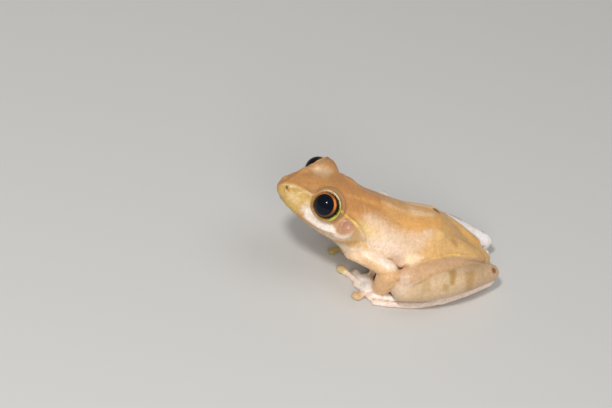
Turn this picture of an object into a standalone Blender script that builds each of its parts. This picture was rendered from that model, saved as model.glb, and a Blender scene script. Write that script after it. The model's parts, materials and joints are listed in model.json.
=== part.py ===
"""A bright-eyed tree frog at rest, life size: a still museum model.

The frog faces -Y, its left side is +X, and it sits on Z = 0. Lengths are in metres.
The trunk and head are one form, parted at the neck and along the line of the mouth.
Each stretch of a limb is a tube that is cut clear of the one it grows from.
"""

from math import cos, pi, radians, sin

import bmesh
import bpy
import numpy as np
from mathutils import Matrix, Vector

MM = 0.001
GAP = 0.3 * MM
HALF_GAP_MM = GAP / MM / 2
BLOCK_REACH_MM = 40.0

# Trunk and head: place along Y, height of the back, height of the belly, half width,
# and height at which the form is widest, all in millimetres.
BODY_STATIONS = (
    (-20.2, 15.9, 15.2, 0.25, 15.6),
    (-20.0, 16.5, 14.9, 1.15, 15.7),
    (-19.3, 17.05, 14.3, 2.15, 15.4),
    (-18.2, 17.5, 13.5, 3.1, 14.95),
    (-16.6, 17.9, 12.5, 4.1, 14.3),
    (-14.8, 18.1, 11.5, 4.95, 13.4),
    (-13.0, 18.2, 10.3, 5.6, 12.6),
    (-11.0, 17.9, 8.7, 6.15, 11.9),
    (-9.0, 17.1, 6.8, 6.35, 11.2),
    (-6.6, 15.8, 4.0, 6.1, 10.0),
    (-4.0, 14.5, 2.2, 6.0, 8.9),
    (-1.0, 13.2, 0.6, 6.2, 7.9),
    (2.0, 12.4, -0.15, 6.3, 7.6),
    (5.0, 11.9, -0.15, 6.1, 7.6),
    (7.5, 11.3, -0.15, 5.5, 7.4),
    (10.0, 9.6, -0.1, 4.6, 6.2),
    (13.0, 6.9, 0.3, 3.7, 4.6),
    (15.6, 5.0, 0.8, 2.8, 3.4),
    (17.3, 4.1, 1.6, 1.6, 2.9),
    (18.0, 3.3, 2.4, 0.4, 2.85),
)
BODY_SIDES = 40
BODY_STEPS = 3
BODY_VOXEL = 0.2 * MM
BODY_SMOOTHING = 5
BODY_FACES = 5300

# Eyes
EYE_CENTRE = Vector((4.0, -12.65, 16.35)) * MM
EYE_RADIUS = 2.3 * MM
EYE_AXIS = Vector((0.72, -0.52, 0.46)).normalized()
EYE_OPENING = 2.05 * MM
EYE_RIM_PLACE = (EYE_RADIUS**2 - EYE_OPENING**2) ** 0.5
LID_COVER = 0.48 * MM
LID_RIM = 0.26 * MM
LID_RIM_PROUD = 0.1 * MM
OPENING_SIDES = 24
OPENING_START = 0.6
OPENING_LENGTH = 3.0 * MM
OPENING_FLARE = 1.2 * MM

# Snout
NOSTRIL = Vector((1.35, -18.8, 16.9)) * MM
NOSTRIL_BUMP = 0.55 * MM
NOSTRIL_PIT = 0.3 * MM
NOSTRIL_PIT_OFFSET = Vector((0.45, -0.15, 0.12)) * MM
CANTHUS = ((1.3, -18.7, 16.7, 0.5), (2.2, -17.0, 17.0, 0.6), (2.8, -15.0, 17.1, 0.6))

# Mouth: line of the parting in side view, from the snout to behind the corner
MOUTH_LINE = (
    (-22.0, 14.9),
    (-19.4, 14.4),
    (-16.5, 13.3),
    (-13.6, 12.3),
    (-11.0, 11.6),
    (-9.4, 11.2),
    (-8.8, 10.4),
    (-8.5, 9.0),
    (-8.3, 7.0),
    (-8.4, 0.0),
)
JAW_BLOCK_FOOT = -12.0
MOUTH_FRONT = (0.0, -19.4, 14.5)
LIP_PLACES = (-19.0, -18.2, -16.6, -14.8, -13.0, -11.2, -9.7)
LIP_ROLL_MM = 0.5
LIP_OFFSET_MM = 0.42
LIP_SUNK_MM = 0.22

# Ear
TYMPANUM = Vector((6.0, -9.2, 13.6)) * MM
TYMPANUM_AXIS = Vector((0.97, 0.12, 0.18)).normalized()
TYMPANUM_RADIUS = 1.3 * MM
TYMPANUM_RIM = 0.24 * MM
EAR_FOLD = (
    (5.0, -10.2, 14.8, 0.35),
    (5.5, -8.8, 14.4, 0.45),
    (6.0, -7.4, 13.6, 0.5),
    (6.1, -6.3, 11.4, 0.4),
)

# Neck parting in side view: two points on its plane
NECK_TOP = Vector((0.0, -6.3, 16.5)) * MM
NECK_FOOT = Vector((0.0, -8.4, 5.5)) * MM

# Back: the ridges over the hip bones, and the two bumps where they meet the spine
SACRAL_BUMP = (2.8, 6.9, 9.8, 1.4)
HIP_RIDGE = ((2.6, 6.9, 9.3, 1.6), (2.4, 10.5, 7.2, 1.7), (1.7, 15.0, 4.4, 1.5))
SPINE_RIDGE = ((0.0, -7.0, 14.8, 1.4), (0.0, 0.0, 11.6, 1.4), (0.0, 7.0, 10.2, 1.4))

# Limbs, each as points on its middle line with the radius there. All are given as on the
# left side, the arms once for each side, because the right elbow lies further back.
UPPER_ARM = {
    "left": ((4.4, -6.9, 7.8, 1.9), (6.5, -4.3, 7.5, 1.4), (8.4, -1.7, 7.4, 1.45)),
    "right": ((4.6, -6.5, 8.0, 1.9), (6.9, -3.0, 8.0, 1.4), (8.1, 0.3, 7.9, 1.35)),
}
FOREARM = {
    "left": ((8.6, -1.6, 6.9, 1.75), (7.9, -1.55, 4.4, 1.7), (6.6, -1.35, 1.8, 1.35)),
    "right": ((8.4, 0.0, 7.2, 1.5), (8.0, -1.0, 4.5, 1.6), (6.8, -1.5, 1.9, 1.35)),
}
THIGH = ((2.6, 13.8, 4.4, 2.1), (6.4, 7.8, 5.8, 2.4), (8.9, 1.9, 6.0, 2.05))
SHANK = (
    (9.6, 1.2, 4.2, 1.95),
    (9.0, 5.6, 4.7, 2.45),
    (7.5, 11.2, 4.9, 2.15),
    (4.5, 16.8, 4.0, 1.5),
)
TARSUS = ((3.6, 17.0, 1.7, 1.3), (5.9, 13.0, 1.35, 1.15), (7.9, 8.3, 1.0, 1.1))
METATARSUS = ((8.1, 7.4, 0.8, 1.0), (8.5, 4.0, 0.6, 1.2), (8.4, 1.4, 0.5, 1.2))
TARSUS_FLATNESS = 0.85
METATARSUS_FLATNESS = 0.7
PALM_FLATNESS = 0.75
RIGHT_LEG_TURN = radians(6.0)
RIGHT_LEG_PIVOT = Vector((-4.5, 17.0, 0.0)) * MM
RIGHT_LEG_SHIFT = Vector((0.3, 0.4, -0.5)) * MM

# Digits, from root to the middle of the end disc, in the plane of the floor
PALM = ((6.3, -1.9, 1.2, 1.0), (5.9, -2.8, 0.8, 1.1), (5.4, -3.6, 0.5, 1.05))
PALM_HEEL = ((5.8, -2.6, 0.9, 1.1), (4.3, -2.4, 0.75, 1.05), (3.0, -2.8, 0.6, 0.85))
UPPER_TOE = ((8.3, 3.8, 0.9, 0.6), (8.35, 1.6, 0.95, 0.62), (7.65, -0.7, 0.85, 0.6), (7.2, -2.6, 0.65, 0.52))
FINGERS = (
    ((4.9, -3.2), (2.9, -3.7), (1.6, -4.2)),
    ((5.0, -3.9), (2.9, -5.1), (1.0, -6.5)),
    ((5.6, -3.9), (5.2, -4.5), (4.7, -4.8)),
    ((6.2, -3.5), (6.9, -4.3), (7.2, -5.1)),
)
TOES = (
    ((7.6, 5.2), (6.7, 4.6), (6.0, 3.6)),
    ((7.7, 3.6), (6.8, 2.6), (6.2, 1.2)),
    ((8.0, 2.4), (7.4, 1.2), (6.9, 0.4)),
    ((8.3, 1.6), (7.8, -0.6), (7.4, -2.8)),
    ((8.9, 1.8), (9.0, -0.3), (8.5, -2.3)),
)
DIGIT_RADIUS = 0.48 * MM
DIGIT_HEIGHT = 0.42 * MM
DISC_RADII = Vector((0.78, 0.78, 0.46)) * MM
DISC_RISE = 0.8
HAND_VOXEL = 0.13 * MM
HAND_SMOOTHING = 3
HAND_FACES = 820
FOOT_FACES = 900
RIGHT_HAND_TURN = radians(-23.0)
RIGHT_HAND_SHIFT = Vector((-0.1, 1.0, 0.0)) * MM

# The stretches of a limb in the order in which they are cut clear of one another
CUTTING_ORDER = ("shank", "thigh", "tarsus", "foot", "upper_arm", "forearm", "hand")

# Colours, linear RGB
BACK_COLOUR = (0.62, 0.34, 0.17)
BELLY_COLOUR = (0.78, 0.66, 0.52)
LIMB_COLOUR = (0.66, 0.43, 0.27)
HAND_COLOUR = (0.80, 0.66, 0.50)
EYE_COLOUR = (0.02, 0.015, 0.015)


def clear_scene():
    for item in list(bpy.data.objects):
        bpy.data.objects.remove(item, do_unlink=True)


def linked(name, mesh):
    piece = bpy.data.objects.new(name, mesh)
    bpy.context.scene.collection.objects.link(piece)
    return piece


def settle(piece):
    """Makes the shape that the piece's modifiers give its own mesh."""
    graph = bpy.context.evaluated_depsgraph_get()
    mesh = bpy.data.meshes.new_from_object(piece.evaluated_get(graph))
    piece.modifiers.clear()
    old = piece.data
    piece.data = mesh
    bpy.data.meshes.remove(old)
    return piece


def spline(rows, steps):
    """Rows along a smooth curve through the given ones, with steps to each span."""
    rows = [np.array(row, float) for row in rows]
    ends = [2 * rows[0] - rows[1]] + rows + [2 * rows[-1] - rows[-2]]
    out = []
    for a, b, c, d in zip(ends, ends[1:], ends[2:], ends[3:]):
        for t in np.arange(steps) / steps:
            bend = 2 * a - 5 * b + 4 * c - d
            out.append(0.5 * (2 * b + (c - a) * t + bend * t**2 + (3 * b - a - 3 * c + d) * t**3))
    return out + [rows[-1]]


def loft(name, rings):
    """A closed skin over rings of equal count, with both ends filled."""
    mesh = bmesh.new()
    loops = [[mesh.verts.new(point) for point in ring] for ring in rings]
    for one, two in zip(loops, loops[1:]):
        for i, corner in enumerate(one):
            j = (i + 1) % len(one)
            mesh.faces.new((corner, one[j], two[j], two[i]))
    mesh.faces.new(loops[0][::-1])
    mesh.faces.new(loops[-1])
    bmesh.ops.recalc_face_normals(mesh, faces=mesh.faces)
    data = bpy.data.meshes.new(name)
    mesh.to_mesh(data)
    mesh.free()
    return linked(name, data)


def body_ring(y, top, bottom, half_width, widest):
    ring = []
    for k in range(BODY_SIDES):
        angle = 2 * pi * k / BODY_SIDES
        height = (top - widest) if sin(angle) > 0 else (widest - bottom)
        ring.append(Vector((half_width * cos(angle), y, widest + height * sin(angle))) * MM)
    return ring


def tube(name, route, sides=14, steps=4, flat=1.0, grow=0.0, level=Vector((0, 0, 1))):
    """A rounded tube along a route of millimetre points with radii. Flat scales its depth."""
    rows = spline(route, steps)
    centres = [Vector(row[:3]) * MM for row in rows]
    radii = [row[3] * MM + grow for row in rows]
    tangents = [
        (centres[min(i + 1, len(centres) - 1)] - centres[max(i - 1, 0)]).normalized()
        for i in range(len(centres))
    ]
    stops = [(centres[0], tangents[0], radii[0], -angle) for angle in (1.35, 1.0, 0.55)]
    stops += [(c, t, r, 0.0) for c, t, r in zip(centres, tangents, radii)]
    stops += [(centres[-1], tangents[-1], radii[-1], angle) for angle in (0.55, 1.0, 1.35)]
    rings = []
    for centre, tangent, radius, angle in stops:
        across = tangent.cross(level).normalized()
        upward = across.cross(tangent)
        middle = centre + tangent * radius * sin(angle)
        reach = radius * cos(angle)
        rings.append([
            middle
            + across * reach * cos(2 * pi * k / sides)
            + upward * reach * flat * sin(2 * pi * k / sides)
            for k in range(sides)
        ])
    return loft(name, rings)


def ball(name, centre, radii, segments=20, rings=12, axis=Vector((0, 0, 1))):
    """An ellipsoid, its third radius along the axis."""
    mesh = bmesh.new()
    turn = axis.to_track_quat("Z", "Y").to_matrix().to_4x4()
    place = Matrix.Translation(centre) @ turn @ Matrix.Diagonal((*radii, 1.0))
    bmesh.ops.create_uvsphere(mesh, u_segments=segments, v_segments=rings, radius=1.0, matrix=place)
    data = bpy.data.meshes.new(name)
    mesh.to_mesh(data)
    mesh.free()
    return linked(name, data)


def ring_roll(name, centre, axis, radius, roll, around=28, sides=8):
    """A torus about the axis."""
    turn = axis.to_track_quat("Z", "Y").to_matrix()
    rings = []
    for i in range(around + 1):
        angle = 2 * pi * i / around
        outward = turn @ Vector((cos(angle), sin(angle), 0))
        rings.append([
            centre
            + outward * (radius + roll * cos(2 * pi * k / sides))
            + axis * roll * sin(2 * pi * k / sides)
            for k in range(sides)
        ])
    piece = loft(name, rings)
    mesh = bmesh.new()
    mesh.from_mesh(piece.data)
    bmesh.ops.delete(mesh, geom=[f for f in mesh.faces if len(f.verts) > 4], context="FACES_ONLY")
    bmesh.ops.remove_doubles(mesh, verts=mesh.verts, dist=0.001 * MM)
    bmesh.ops.recalc_face_normals(mesh, faces=mesh.faces)
    mesh.to_mesh(piece.data)
    mesh.free()
    return piece


def box(name, low, high):
    mesh = bmesh.new()
    size = high - low
    place = Matrix.Translation((low + high) / 2) @ Matrix.Diagonal((*size, 1.0))
    bmesh.ops.create_cube(mesh, size=1.0, matrix=place)
    data = bpy.data.meshes.new(name)
    mesh.to_mesh(data)
    mesh.free()
    return linked(name, data)


def across_mirror(point):
    return Vector((-point.x, point.y, point.z))


def mirrored_route(route):
    return tuple((-row[0], *row[1:]) for row in route)


def merged(name, pieces):
    """One object that holds the shells of all the pieces, still overlapping."""
    mesh = bmesh.new()
    for piece in pieces:
        mesh.from_mesh(piece.data)
        bpy.data.objects.remove(piece, do_unlink=True)
    data = bpy.data.meshes.new(name)
    mesh.to_mesh(data)
    mesh.free()
    return linked(name, data)


def fused(name, pieces, voxel, smoothing, faces):
    """The pieces as one soft closed form of about so many triangles."""
    form = merged(name, pieces)
    remesh = form.modifiers.new("fuse", "REMESH")
    remesh.mode = "VOXEL"
    remesh.voxel_size = voxel
    smooth = form.modifiers.new("soften", "SMOOTH")
    smooth.factor = 0.5
    smooth.iterations = smoothing
    settle(form)
    thin = form.modifiers.new("thin", "DECIMATE")
    thin.ratio = min(1.0, faces / (2 * len(form.data.polygons)))
    settle(form)
    return largest_shell(form)


def largest_shell(piece):
    """Drops all but the largest closed surface of the piece."""
    mesh = bmesh.new()
    mesh.from_mesh(piece.data)
    left = set(mesh.verts)
    shells = []
    while left:
        start = left.pop()
        shell = {start}
        edge = [start]
        while edge:
            near = {e.other_vert(v) for v in edge for e in v.link_edges} - shell
            shell |= near
            edge = list(near)
        left -= shell
        shells.append(shell)
    keep = max(shells, key=len)
    bmesh.ops.delete(mesh, geom=[v for v in mesh.verts if v not in keep], context="VERTS")
    mesh.to_mesh(piece.data)
    mesh.free()
    return piece


def combined(piece, tools, operation, solver="EXACT"):
    for tool in tools:
        change = piece.modifiers.new(operation.lower(), "BOOLEAN")
        change.operation = operation
        change.solver = solver
        change.object = tool
    settle(piece)
    for tool in tools:
        bpy.data.objects.remove(tool, do_unlink=True)
    return largest_shell(piece)


def cut(piece, tools, solver="EXACT"):
    return combined(piece, tools, "DIFFERENCE", solver)


def copied(piece, name):
    return linked(name, piece.data.copy())


def swollen(piece, reach):
    """The piece with each of its points moved out along its normal."""
    normals = [vertex.normal.copy() for vertex in piece.data.vertices]
    for vertex, normal in zip(piece.data.vertices, normals):
        vertex.co += normal * reach
    return piece


def floor_block():
    reach = BLOCK_REACH_MM * MM
    return box("floor_block", Vector((-reach, -reach, -reach)), Vector((reach, reach, 0)))


def sides_of(build, name):
    """The left piece and the right one, from a function that takes the side's sign."""
    return {side: build(f"{name}_{side}", sign) for side, sign in (("left", 1), ("right", -1))}


def offset_line(points, distance):
    """A line in side view, moved by a distance square to itself."""
    moved = []
    for i, (y, z) in enumerate(points):
        ahead = points[min(i + 1, len(points) - 1)]
        behind = points[max(i - 1, 0)]
        run = Vector((ahead[0] - behind[0], ahead[1] - behind[1])).normalized()
        moved.append((y - run.y * distance, z + run.x * distance))
    return moved


def jaw_block(name, offset_mm):
    """A block that holds all below the line of the mouth, from side to side."""
    line = [tuple(row) for row in spline(MOUTH_LINE, 3)]
    outline = offset_line(line, offset_mm)
    outline += [(outline[-1][0], JAW_BLOCK_FOOT), (-BLOCK_REACH_MM, JAW_BLOCK_FOOT)]
    outline += [(-BLOCK_REACH_MM, outline[0][1])]
    sides = (-BLOCK_REACH_MM, BLOCK_REACH_MM)
    return loft(name, [[Vector((x, y, z)) * MM for y, z in outline] for x in sides])


def neck_block(name, ahead, offset):
    """A block that holds all ahead of the neck's plane, or all behind it."""
    run = (NECK_TOP - NECK_FOOT).normalized()
    forward = Vector((0, -run.z, run.y))
    if forward.y > 0:
        forward = -forward
    direction = forward if ahead else -forward
    middle = (NECK_TOP + NECK_FOOT) / 2 + direction * offset
    deep = BLOCK_REACH_MM * MM
    corners = []
    for reach in (0.0, deep):
        corners.append([
            middle + direction * reach + Vector((1, 0, 0)) * a * deep + run * b * deep
            for a, b in ((-1, -1), (1, -1), (1, 1), (-1, 1))
        ])
    return loft(name, corners)


def side_reach(y, z):
    """How far the trunk's side stands from the middle plane at this place, in millimetres."""
    rows = np.array(spline(BODY_STATIONS, BODY_STEPS))
    top, bottom, half_width, widest = (np.interp(y, rows[:, 0], rows[:, i]) for i in range(1, 5))
    height = top - widest if z > widest else widest - bottom
    return half_width * max(0.0, 1.0 - ((z - widest) / height) ** 2) ** 0.5


def lip_route(offset):
    """A lip's line on the left side, from the middle of the snout to the corner of the mouth."""
    line = np.array(spline(MOUTH_LINE[:-3], BODY_STEPS))
    x, y, z = MOUTH_FRONT
    route = [(x, y + LIP_SUNK_MM, z + offset, LIP_ROLL_MM)]
    for y in LIP_PLACES:
        z = np.interp(y, line[:, 0], line[:, 1]) + offset
        route.append((side_reach(y, z) - LIP_SUNK_MM, y, z, LIP_ROLL_MM))
    return tuple(route)


def body_form():
    rings = [body_ring(*row) for row in spline(BODY_STATIONS, BODY_STEPS)]
    pieces = [loft("trunk", rings)]
    pieces.append(tube("spine", SPINE_RIDGE))
    for sign in (1, -1):
        mirror = (lambda route: route) if sign > 0 else mirrored_route
        flip = (lambda point: point.copy()) if sign > 0 else across_mirror
        cover = EYE_RADIUS + LID_COVER
        pieces.append(ball("lid_dome", flip(EYE_CENTRE), (cover,) * 3, 32, 20))
        for offset in (LIP_OFFSET_MM, -LIP_OFFSET_MM):
            pieces.append(tube("lip", mirror(lip_route(offset)), 10, 3))
        rim_centre = flip(EYE_CENTRE) + flip(EYE_AXIS) * (EYE_RIM_PLACE + LID_RIM_PROUD)
        rim_radius = EYE_OPENING + LID_RIM
        pieces.append(ring_roll("lid_rim", rim_centre, flip(EYE_AXIS), rim_radius, LID_RIM))
        pieces.append(tube("canthus", mirror(CANTHUS)))
        pieces.append(ball("nostril_bump", flip(NOSTRIL), (NOSTRIL_BUMP,) * 3))
        ear = flip(TYMPANUM)
        pieces.append(ring_roll("ear_rim", ear, flip(TYMPANUM_AXIS), TYMPANUM_RADIUS, TYMPANUM_RIM))
        pieces.append(tube("ear_fold", mirror(EAR_FOLD)))
        pieces.append(tube("hip_ridge", mirror(HIP_RIDGE)))
        x, y, z, radius = mirror((SACRAL_BUMP,))[0]
        pieces.append(ball("sacral_bump", Vector((x, y, z)) * MM, (radius * MM,) * 3))
    return fused("body", pieces, BODY_VOXEL, BODY_SMOOTHING, BODY_FACES)


def opening_cutter(sign):
    """The socket: a ball that clears the eye, and opens the lids in front of it."""
    flip = (lambda point: point.copy()) if sign > 0 else across_mirror
    clear = EYE_RADIUS + GAP
    socket = ball("socket", flip(EYE_CENTRE), (clear,) * 3, OPENING_SIDES, 14)
    axis = flip(EYE_AXIS)
    start = flip(EYE_CENTRE) + axis * EYE_RIM_PLACE * OPENING_START
    end = start + axis * OPENING_LENGTH
    side = axis.orthogonal().normalized()
    other = axis.cross(side)
    turns = [2 * pi * k / OPENING_SIDES for k in range(OPENING_SIDES)]
    rings = [
        [point + (side * cos(turn) + other * sin(turn)) * radius for turn in turns]
        for point, radius in ((start, EYE_OPENING), (end, EYE_OPENING + OPENING_FLARE))
    ]
    return [socket, loft("opening", rings)]


def parted_body():
    """The head, the lower jaw and the torso, and the whole form that they come from."""
    body = body_form()
    cut(body, [floor_block()])
    whole = copied(body, "whole")
    for sign in (1, -1):
        cut(body, opening_cutter(sign))
        pit = NOSTRIL + NOSTRIL_PIT_OFFSET
        pit = pit if sign > 0 else across_mirror(pit)
        cut(body, [ball("pit", pit, (NOSTRIL_PIT,) * 3, 10, 8)])
    torso = copied(body, "torso")
    jaw = copied(body, "lower_jaw")
    head = body
    head.name = "head"
    cut(torso, [neck_block("front", True, -GAP / 2)])
    cut(head, [neck_block("rear", False, -GAP / 2), jaw_block("jaw", HALF_GAP_MM)])
    cut(jaw, [neck_block("rear", False, -GAP / 2)])
    combined(jaw, [jaw_block("jaw", -HALF_GAP_MM)], "INTERSECT")
    return [head, jaw, torso], whole


def eye(name, sign):
    centre = EYE_CENTRE if sign > 0 else across_mirror(EYE_CENTRE)
    axis = EYE_AXIS if sign > 0 else across_mirror(EYE_AXIS)
    return ball(name, centre, (EYE_RADIUS,) * 3, 20, 12, axis)


def turned(route, pivot, angle, shift=Vector((0, 0, 0))):
    """A route turned about an upright line through the pivot, then shifted."""
    turn = Matrix.Rotation(angle, 3, "Z")
    rows = []
    for x, y, z, radius in route:
        point = turn @ (Vector((x, y, z)) - pivot / MM) + (pivot + shift) / MM
        rows.append((*point, radius))
    return tuple(rows)


def leg_route(route, sign):
    if sign > 0:
        return route
    return turned(mirrored_route(route), RIGHT_LEG_PIVOT, RIGHT_LEG_TURN, RIGHT_LEG_SHIFT)


def arm_route(routes, sign):
    return routes["left"] if sign > 0 else mirrored_route(routes["right"])


def digit_pieces(path, hand):
    """A digit's tube and its end disc, on the floor."""
    route = [(x, y, DIGIT_HEIGHT / MM, DIGIT_RADIUS / MM) for x, y in path]
    end = Vector((*path[-1], DISC_RADII.z * DISC_RISE / MM)) * MM
    return [tube(hand + "_digit", route, 8, 3), ball(hand + "_disc", end, DISC_RADII, 12, 8)]


def laid(path, sign, limb_route):
    """A digit's path on the floor, taken to its side as the limb is."""
    rows = limb_route([(x, y, 0.0, 0.0) for x, y in path], sign)
    return [(row[0], row[1]) for row in rows]


def hand_route(route, sign):
    if sign > 0:
        return tuple(route)
    wrist = Vector((-PALM[0][0], PALM[0][1], 0.0)) * MM
    return turned(mirrored_route(route), wrist, RIGHT_HAND_TURN, RIGHT_HAND_SHIFT)


def hand(sign):
    lobes = (PALM, PALM_HEEL)
    pieces = [tube("palm", hand_route(lobe, sign), 12, 3, PALM_FLATNESS) for lobe in lobes]
    for path in FINGERS:
        pieces += digit_pieces(laid(path, sign, hand_route), "finger")
    return fused("hand", pieces, HAND_VOXEL, HAND_SMOOTHING, HAND_FACES)


def foot(sign):
    pieces = [tube("metatarsus", leg_route(METATARSUS, sign), 12, 3, METATARSUS_FLATNESS)]
    pieces.append(tube("upper_toe", leg_route(UPPER_TOE, sign), 10, 3))
    for path in TOES:
        pieces += digit_pieces(laid(path, sign, leg_route), "toe")
    return fused("foot", pieces, HAND_VOXEL, HAND_SMOOTHING, FOOT_FACES)


def limb_forms(sign):
    """What makes each stretch, in the order in which they are cut clear of one another."""
    lines = {
        "shank": leg_route(SHANK, sign),
        "thigh": leg_route(THIGH, sign),
        "tarsus": leg_route(TARSUS, sign),
        "upper_arm": arm_route(UPPER_ARM, sign),
        "forearm": arm_route(FOREARM, sign),
    }
    flats = {"tarsus": TARSUS_FLATNESS}
    levels = {"forearm": Vector((0, 1, 0))}
    forms = {
        "foot": lambda grow: swollen(foot(sign), grow),
        "hand": lambda grow: swollen(hand(sign), grow),
    }
    for name, line in lines.items():
        shape = (line, 12, 3, flats.get(name, 1.0))
        level = levels.get(name, Vector((0, 0, 1)))
        forms[name] = lambda grow, n=name, s=shape, v=level: tube(n, *s, grow, v)
    return {name: forms[name] for name in CUTTING_ORDER}


def limbs(whole):
    """Every stretch of the four limbs, each clear of the body and of those before it."""
    parts = []
    for side, sign in (("left", 1), ("right", -1)):
        before = []
        for name, form in limb_forms(sign).items():
            piece = form(0.0)
            piece.name = f"{name}_{side}"
            cut(piece, [swollen(copied(whole, "whole_grown"), GAP)], "MANIFOLD")
            cut(piece, [floor_block()])
            for other in before:
                cut(piece, [other(GAP)], "MANIFOLD")
            before.append(form)
            parts.append(piece)
    return parts


def finish(piece, colour, roughness):
    material = bpy.data.materials.new(piece.name)
    material.use_nodes = True
    shader = material.node_tree.nodes["Principled BSDF"]
    shader.inputs["Base Color"].default_value = (*colour, 1.0)
    shader.inputs["Roughness"].default_value = roughness
    shader.inputs["Metallic"].default_value = 0.0
    piece.data.materials.clear()
    piece.data.materials.append(material)
    piece.data.shade_smooth()


def colour_of(name):
    if name.startswith("eye"):
        return EYE_COLOUR, 0.05
    if name.startswith(("hand", "foot")):
        return HAND_COLOUR, 0.45
    if name in ("head", "torso"):
        return BACK_COLOUR, 0.45
    if name == "lower_jaw":
        return BELLY_COLOUR, 0.45
    return LIMB_COLOUR, 0.45


def centred(parts):
    """Moves the whole frog so that the middle of its box stands at X = Y = 0, on Z = 0."""
    points = [vertex.co for part in parts for vertex in part.data.vertices]
    low = Vector([min(p[i] for p in points) for i in range(3)])
    high = Vector([max(p[i] for p in points) for i in range(3)])
    move = Vector((-(low.x + high.x) / 2, -(low.y + high.y) / 2, -low.z))
    for part in parts:
        part.data.transform(Matrix.Translation(move))


def main():
    clear_scene()
    parts, whole = parted_body()
    parts += sides_of(eye, "eye").values()
    parts += limbs(whole)
    bpy.data.objects.remove(whole, do_unlink=True)
    centred(parts)
    frog = bpy.data.collections.new("bright_eyed_frog")
    bpy.context.scene.collection.children.link(frog)
    for part in parts:
        colour, roughness = colour_of(part.name)
        finish(part, colour, roughness)
        frog.objects.link(part)
        bpy.context.scene.collection.objects.unlink(part)


main()
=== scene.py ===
"""The looks of a bright-eyed tree frog: one moist skin over its solids, two eyes, and the stage.

Lengths are in metres, and in millimetres where a name or comment says so. Paint is laid on by
named places: a place is a pixel of the 612 x 408 view. A mark is laid on both sides of the frog,
apart from specks and painted shade, the far lid's dome, and marks that lie on limbs of the right
side alone.
"""

from math import asin

import bmesh
import bpy
import numpy as np
from mathutils import Matrix, Vector
from mathutils.bvhtree import BVHTree
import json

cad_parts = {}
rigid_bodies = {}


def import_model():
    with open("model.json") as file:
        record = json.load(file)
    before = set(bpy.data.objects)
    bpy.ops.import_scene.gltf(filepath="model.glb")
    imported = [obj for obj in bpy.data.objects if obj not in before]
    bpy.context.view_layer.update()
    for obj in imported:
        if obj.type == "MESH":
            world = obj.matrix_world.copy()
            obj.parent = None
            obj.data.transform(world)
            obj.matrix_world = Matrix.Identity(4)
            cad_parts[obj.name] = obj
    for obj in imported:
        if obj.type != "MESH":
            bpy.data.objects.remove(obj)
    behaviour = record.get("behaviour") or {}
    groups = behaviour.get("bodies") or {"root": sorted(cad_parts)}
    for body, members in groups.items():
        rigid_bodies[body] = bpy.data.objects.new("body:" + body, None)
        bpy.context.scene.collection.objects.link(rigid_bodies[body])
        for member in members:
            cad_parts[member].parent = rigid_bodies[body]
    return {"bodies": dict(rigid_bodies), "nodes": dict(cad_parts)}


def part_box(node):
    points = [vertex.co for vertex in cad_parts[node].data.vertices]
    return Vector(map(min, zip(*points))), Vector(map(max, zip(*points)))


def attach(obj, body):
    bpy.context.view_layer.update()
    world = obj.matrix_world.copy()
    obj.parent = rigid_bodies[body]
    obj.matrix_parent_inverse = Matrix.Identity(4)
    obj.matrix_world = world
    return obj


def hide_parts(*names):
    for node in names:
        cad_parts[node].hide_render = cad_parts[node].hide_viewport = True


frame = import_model()

bl_info = {
    "name": "Bright-eyed frog looks",
    "version": (1, 0, 0),
    "blender": (4, 5, 0),
    "location": "View3D > Sidebar > Frog",
    "description": "Skin, eyes and stage of a life-size tree frog model",
    "category": "Object",
}

MM = 0.001
TINY = 1e-9
BODY = next(iter(frame["bodies"]))
EYE_NODES = ("eye_left", "eye_right")
FLESH_NODES = tuple(name for name in frame["nodes"] if name not in EYE_NODES)


def pair(*stems):
    """The left and right solids of the stems."""
    return tuple(stem + side for stem in stems for side in ("_left", "_right"))


HEAD = ("head", "lower_jaw")
TORSO = ("torso",)
TRUNK = HEAD + TORSO
THIGH = pair("thigh")
SHANK = pair("shank")
LEG = THIGH + SHANK
FOOT = pair("tarsus", "foot")
UPPER_ARM = pair("upper_arm")
FOREARM = pair("forearm")
ARM = UPPER_ARM + FOREARM
HAND = pair("hand")
RIGHT_LEG = ("thigh_right", "shank_right", "tarsus_right", "foot_right")
RIGHT_ARM = ("upper_arm_right", "forearm_right")
RIGHT_HAND = ("hand_right",)


def middle_of(node):
    low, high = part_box(node)
    return (Vector(low) + Vector(high)) / 2


LEFT_EYE = middle_of("eye_left")
RIGHT_EYE = middle_of("eye_right")
MIDDLE_X = (LEFT_EYE.x + RIGHT_EYE.x) / 2
EYE_RADIUS = (Vector(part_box("eye_left")[1]) - Vector(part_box("eye_left")[0])).z / 2
EYE_AXIS = Vector((0.72, -0.52, 0.46)).normalized()
EYE_PLACE = Vector((4.0, -12.65, 16.35)) * MM
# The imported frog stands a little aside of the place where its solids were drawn.
SHIFT = Vector((MIDDLE_X, LEFT_EYE.y - EYE_PLACE.y, LEFT_EYE.z - EYE_PLACE.z))

# The camera: its axes, its lens, and one point of the frog with the pixel that shows it
VIEW_SIZE = (612, 408)
SENSOR = 36.0
VIEW_RIGHT = Vector((0.17, 0.965, 0.2)).normalized()
VIEW_UP = Vector((-0.655, -0.04, 0.755))
VIEW_UP = (VIEW_UP - VIEW_RIGHT * VIEW_UP.dot(VIEW_RIGHT)).normalized()
VIEW_BACK = VIEW_RIGHT.cross(VIEW_UP)
HEEL = Vector((0.0, 18.5, 3.5)) * MM + SHIFT
HEEL_PIXEL = (493.5, 256.5)
# How far before and behind the heel a line of sight that misses the skin looks for it
SEARCH_STEPS_MM = range(-25, 15)

# Where the pupil looks: the eye's own axis, turned a little forwards and up in the view
PUPIL_AXIS = (EYE_AXIS - VIEW_RIGHT * 0.11 + VIEW_UP * 0.11).normalized()


def tint(name, description, default):
    return bpy.props.FloatVectorProperty(
        name=name, description=description, default=default, subtype="COLOR", size=3, min=0, max=1
    )


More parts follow.
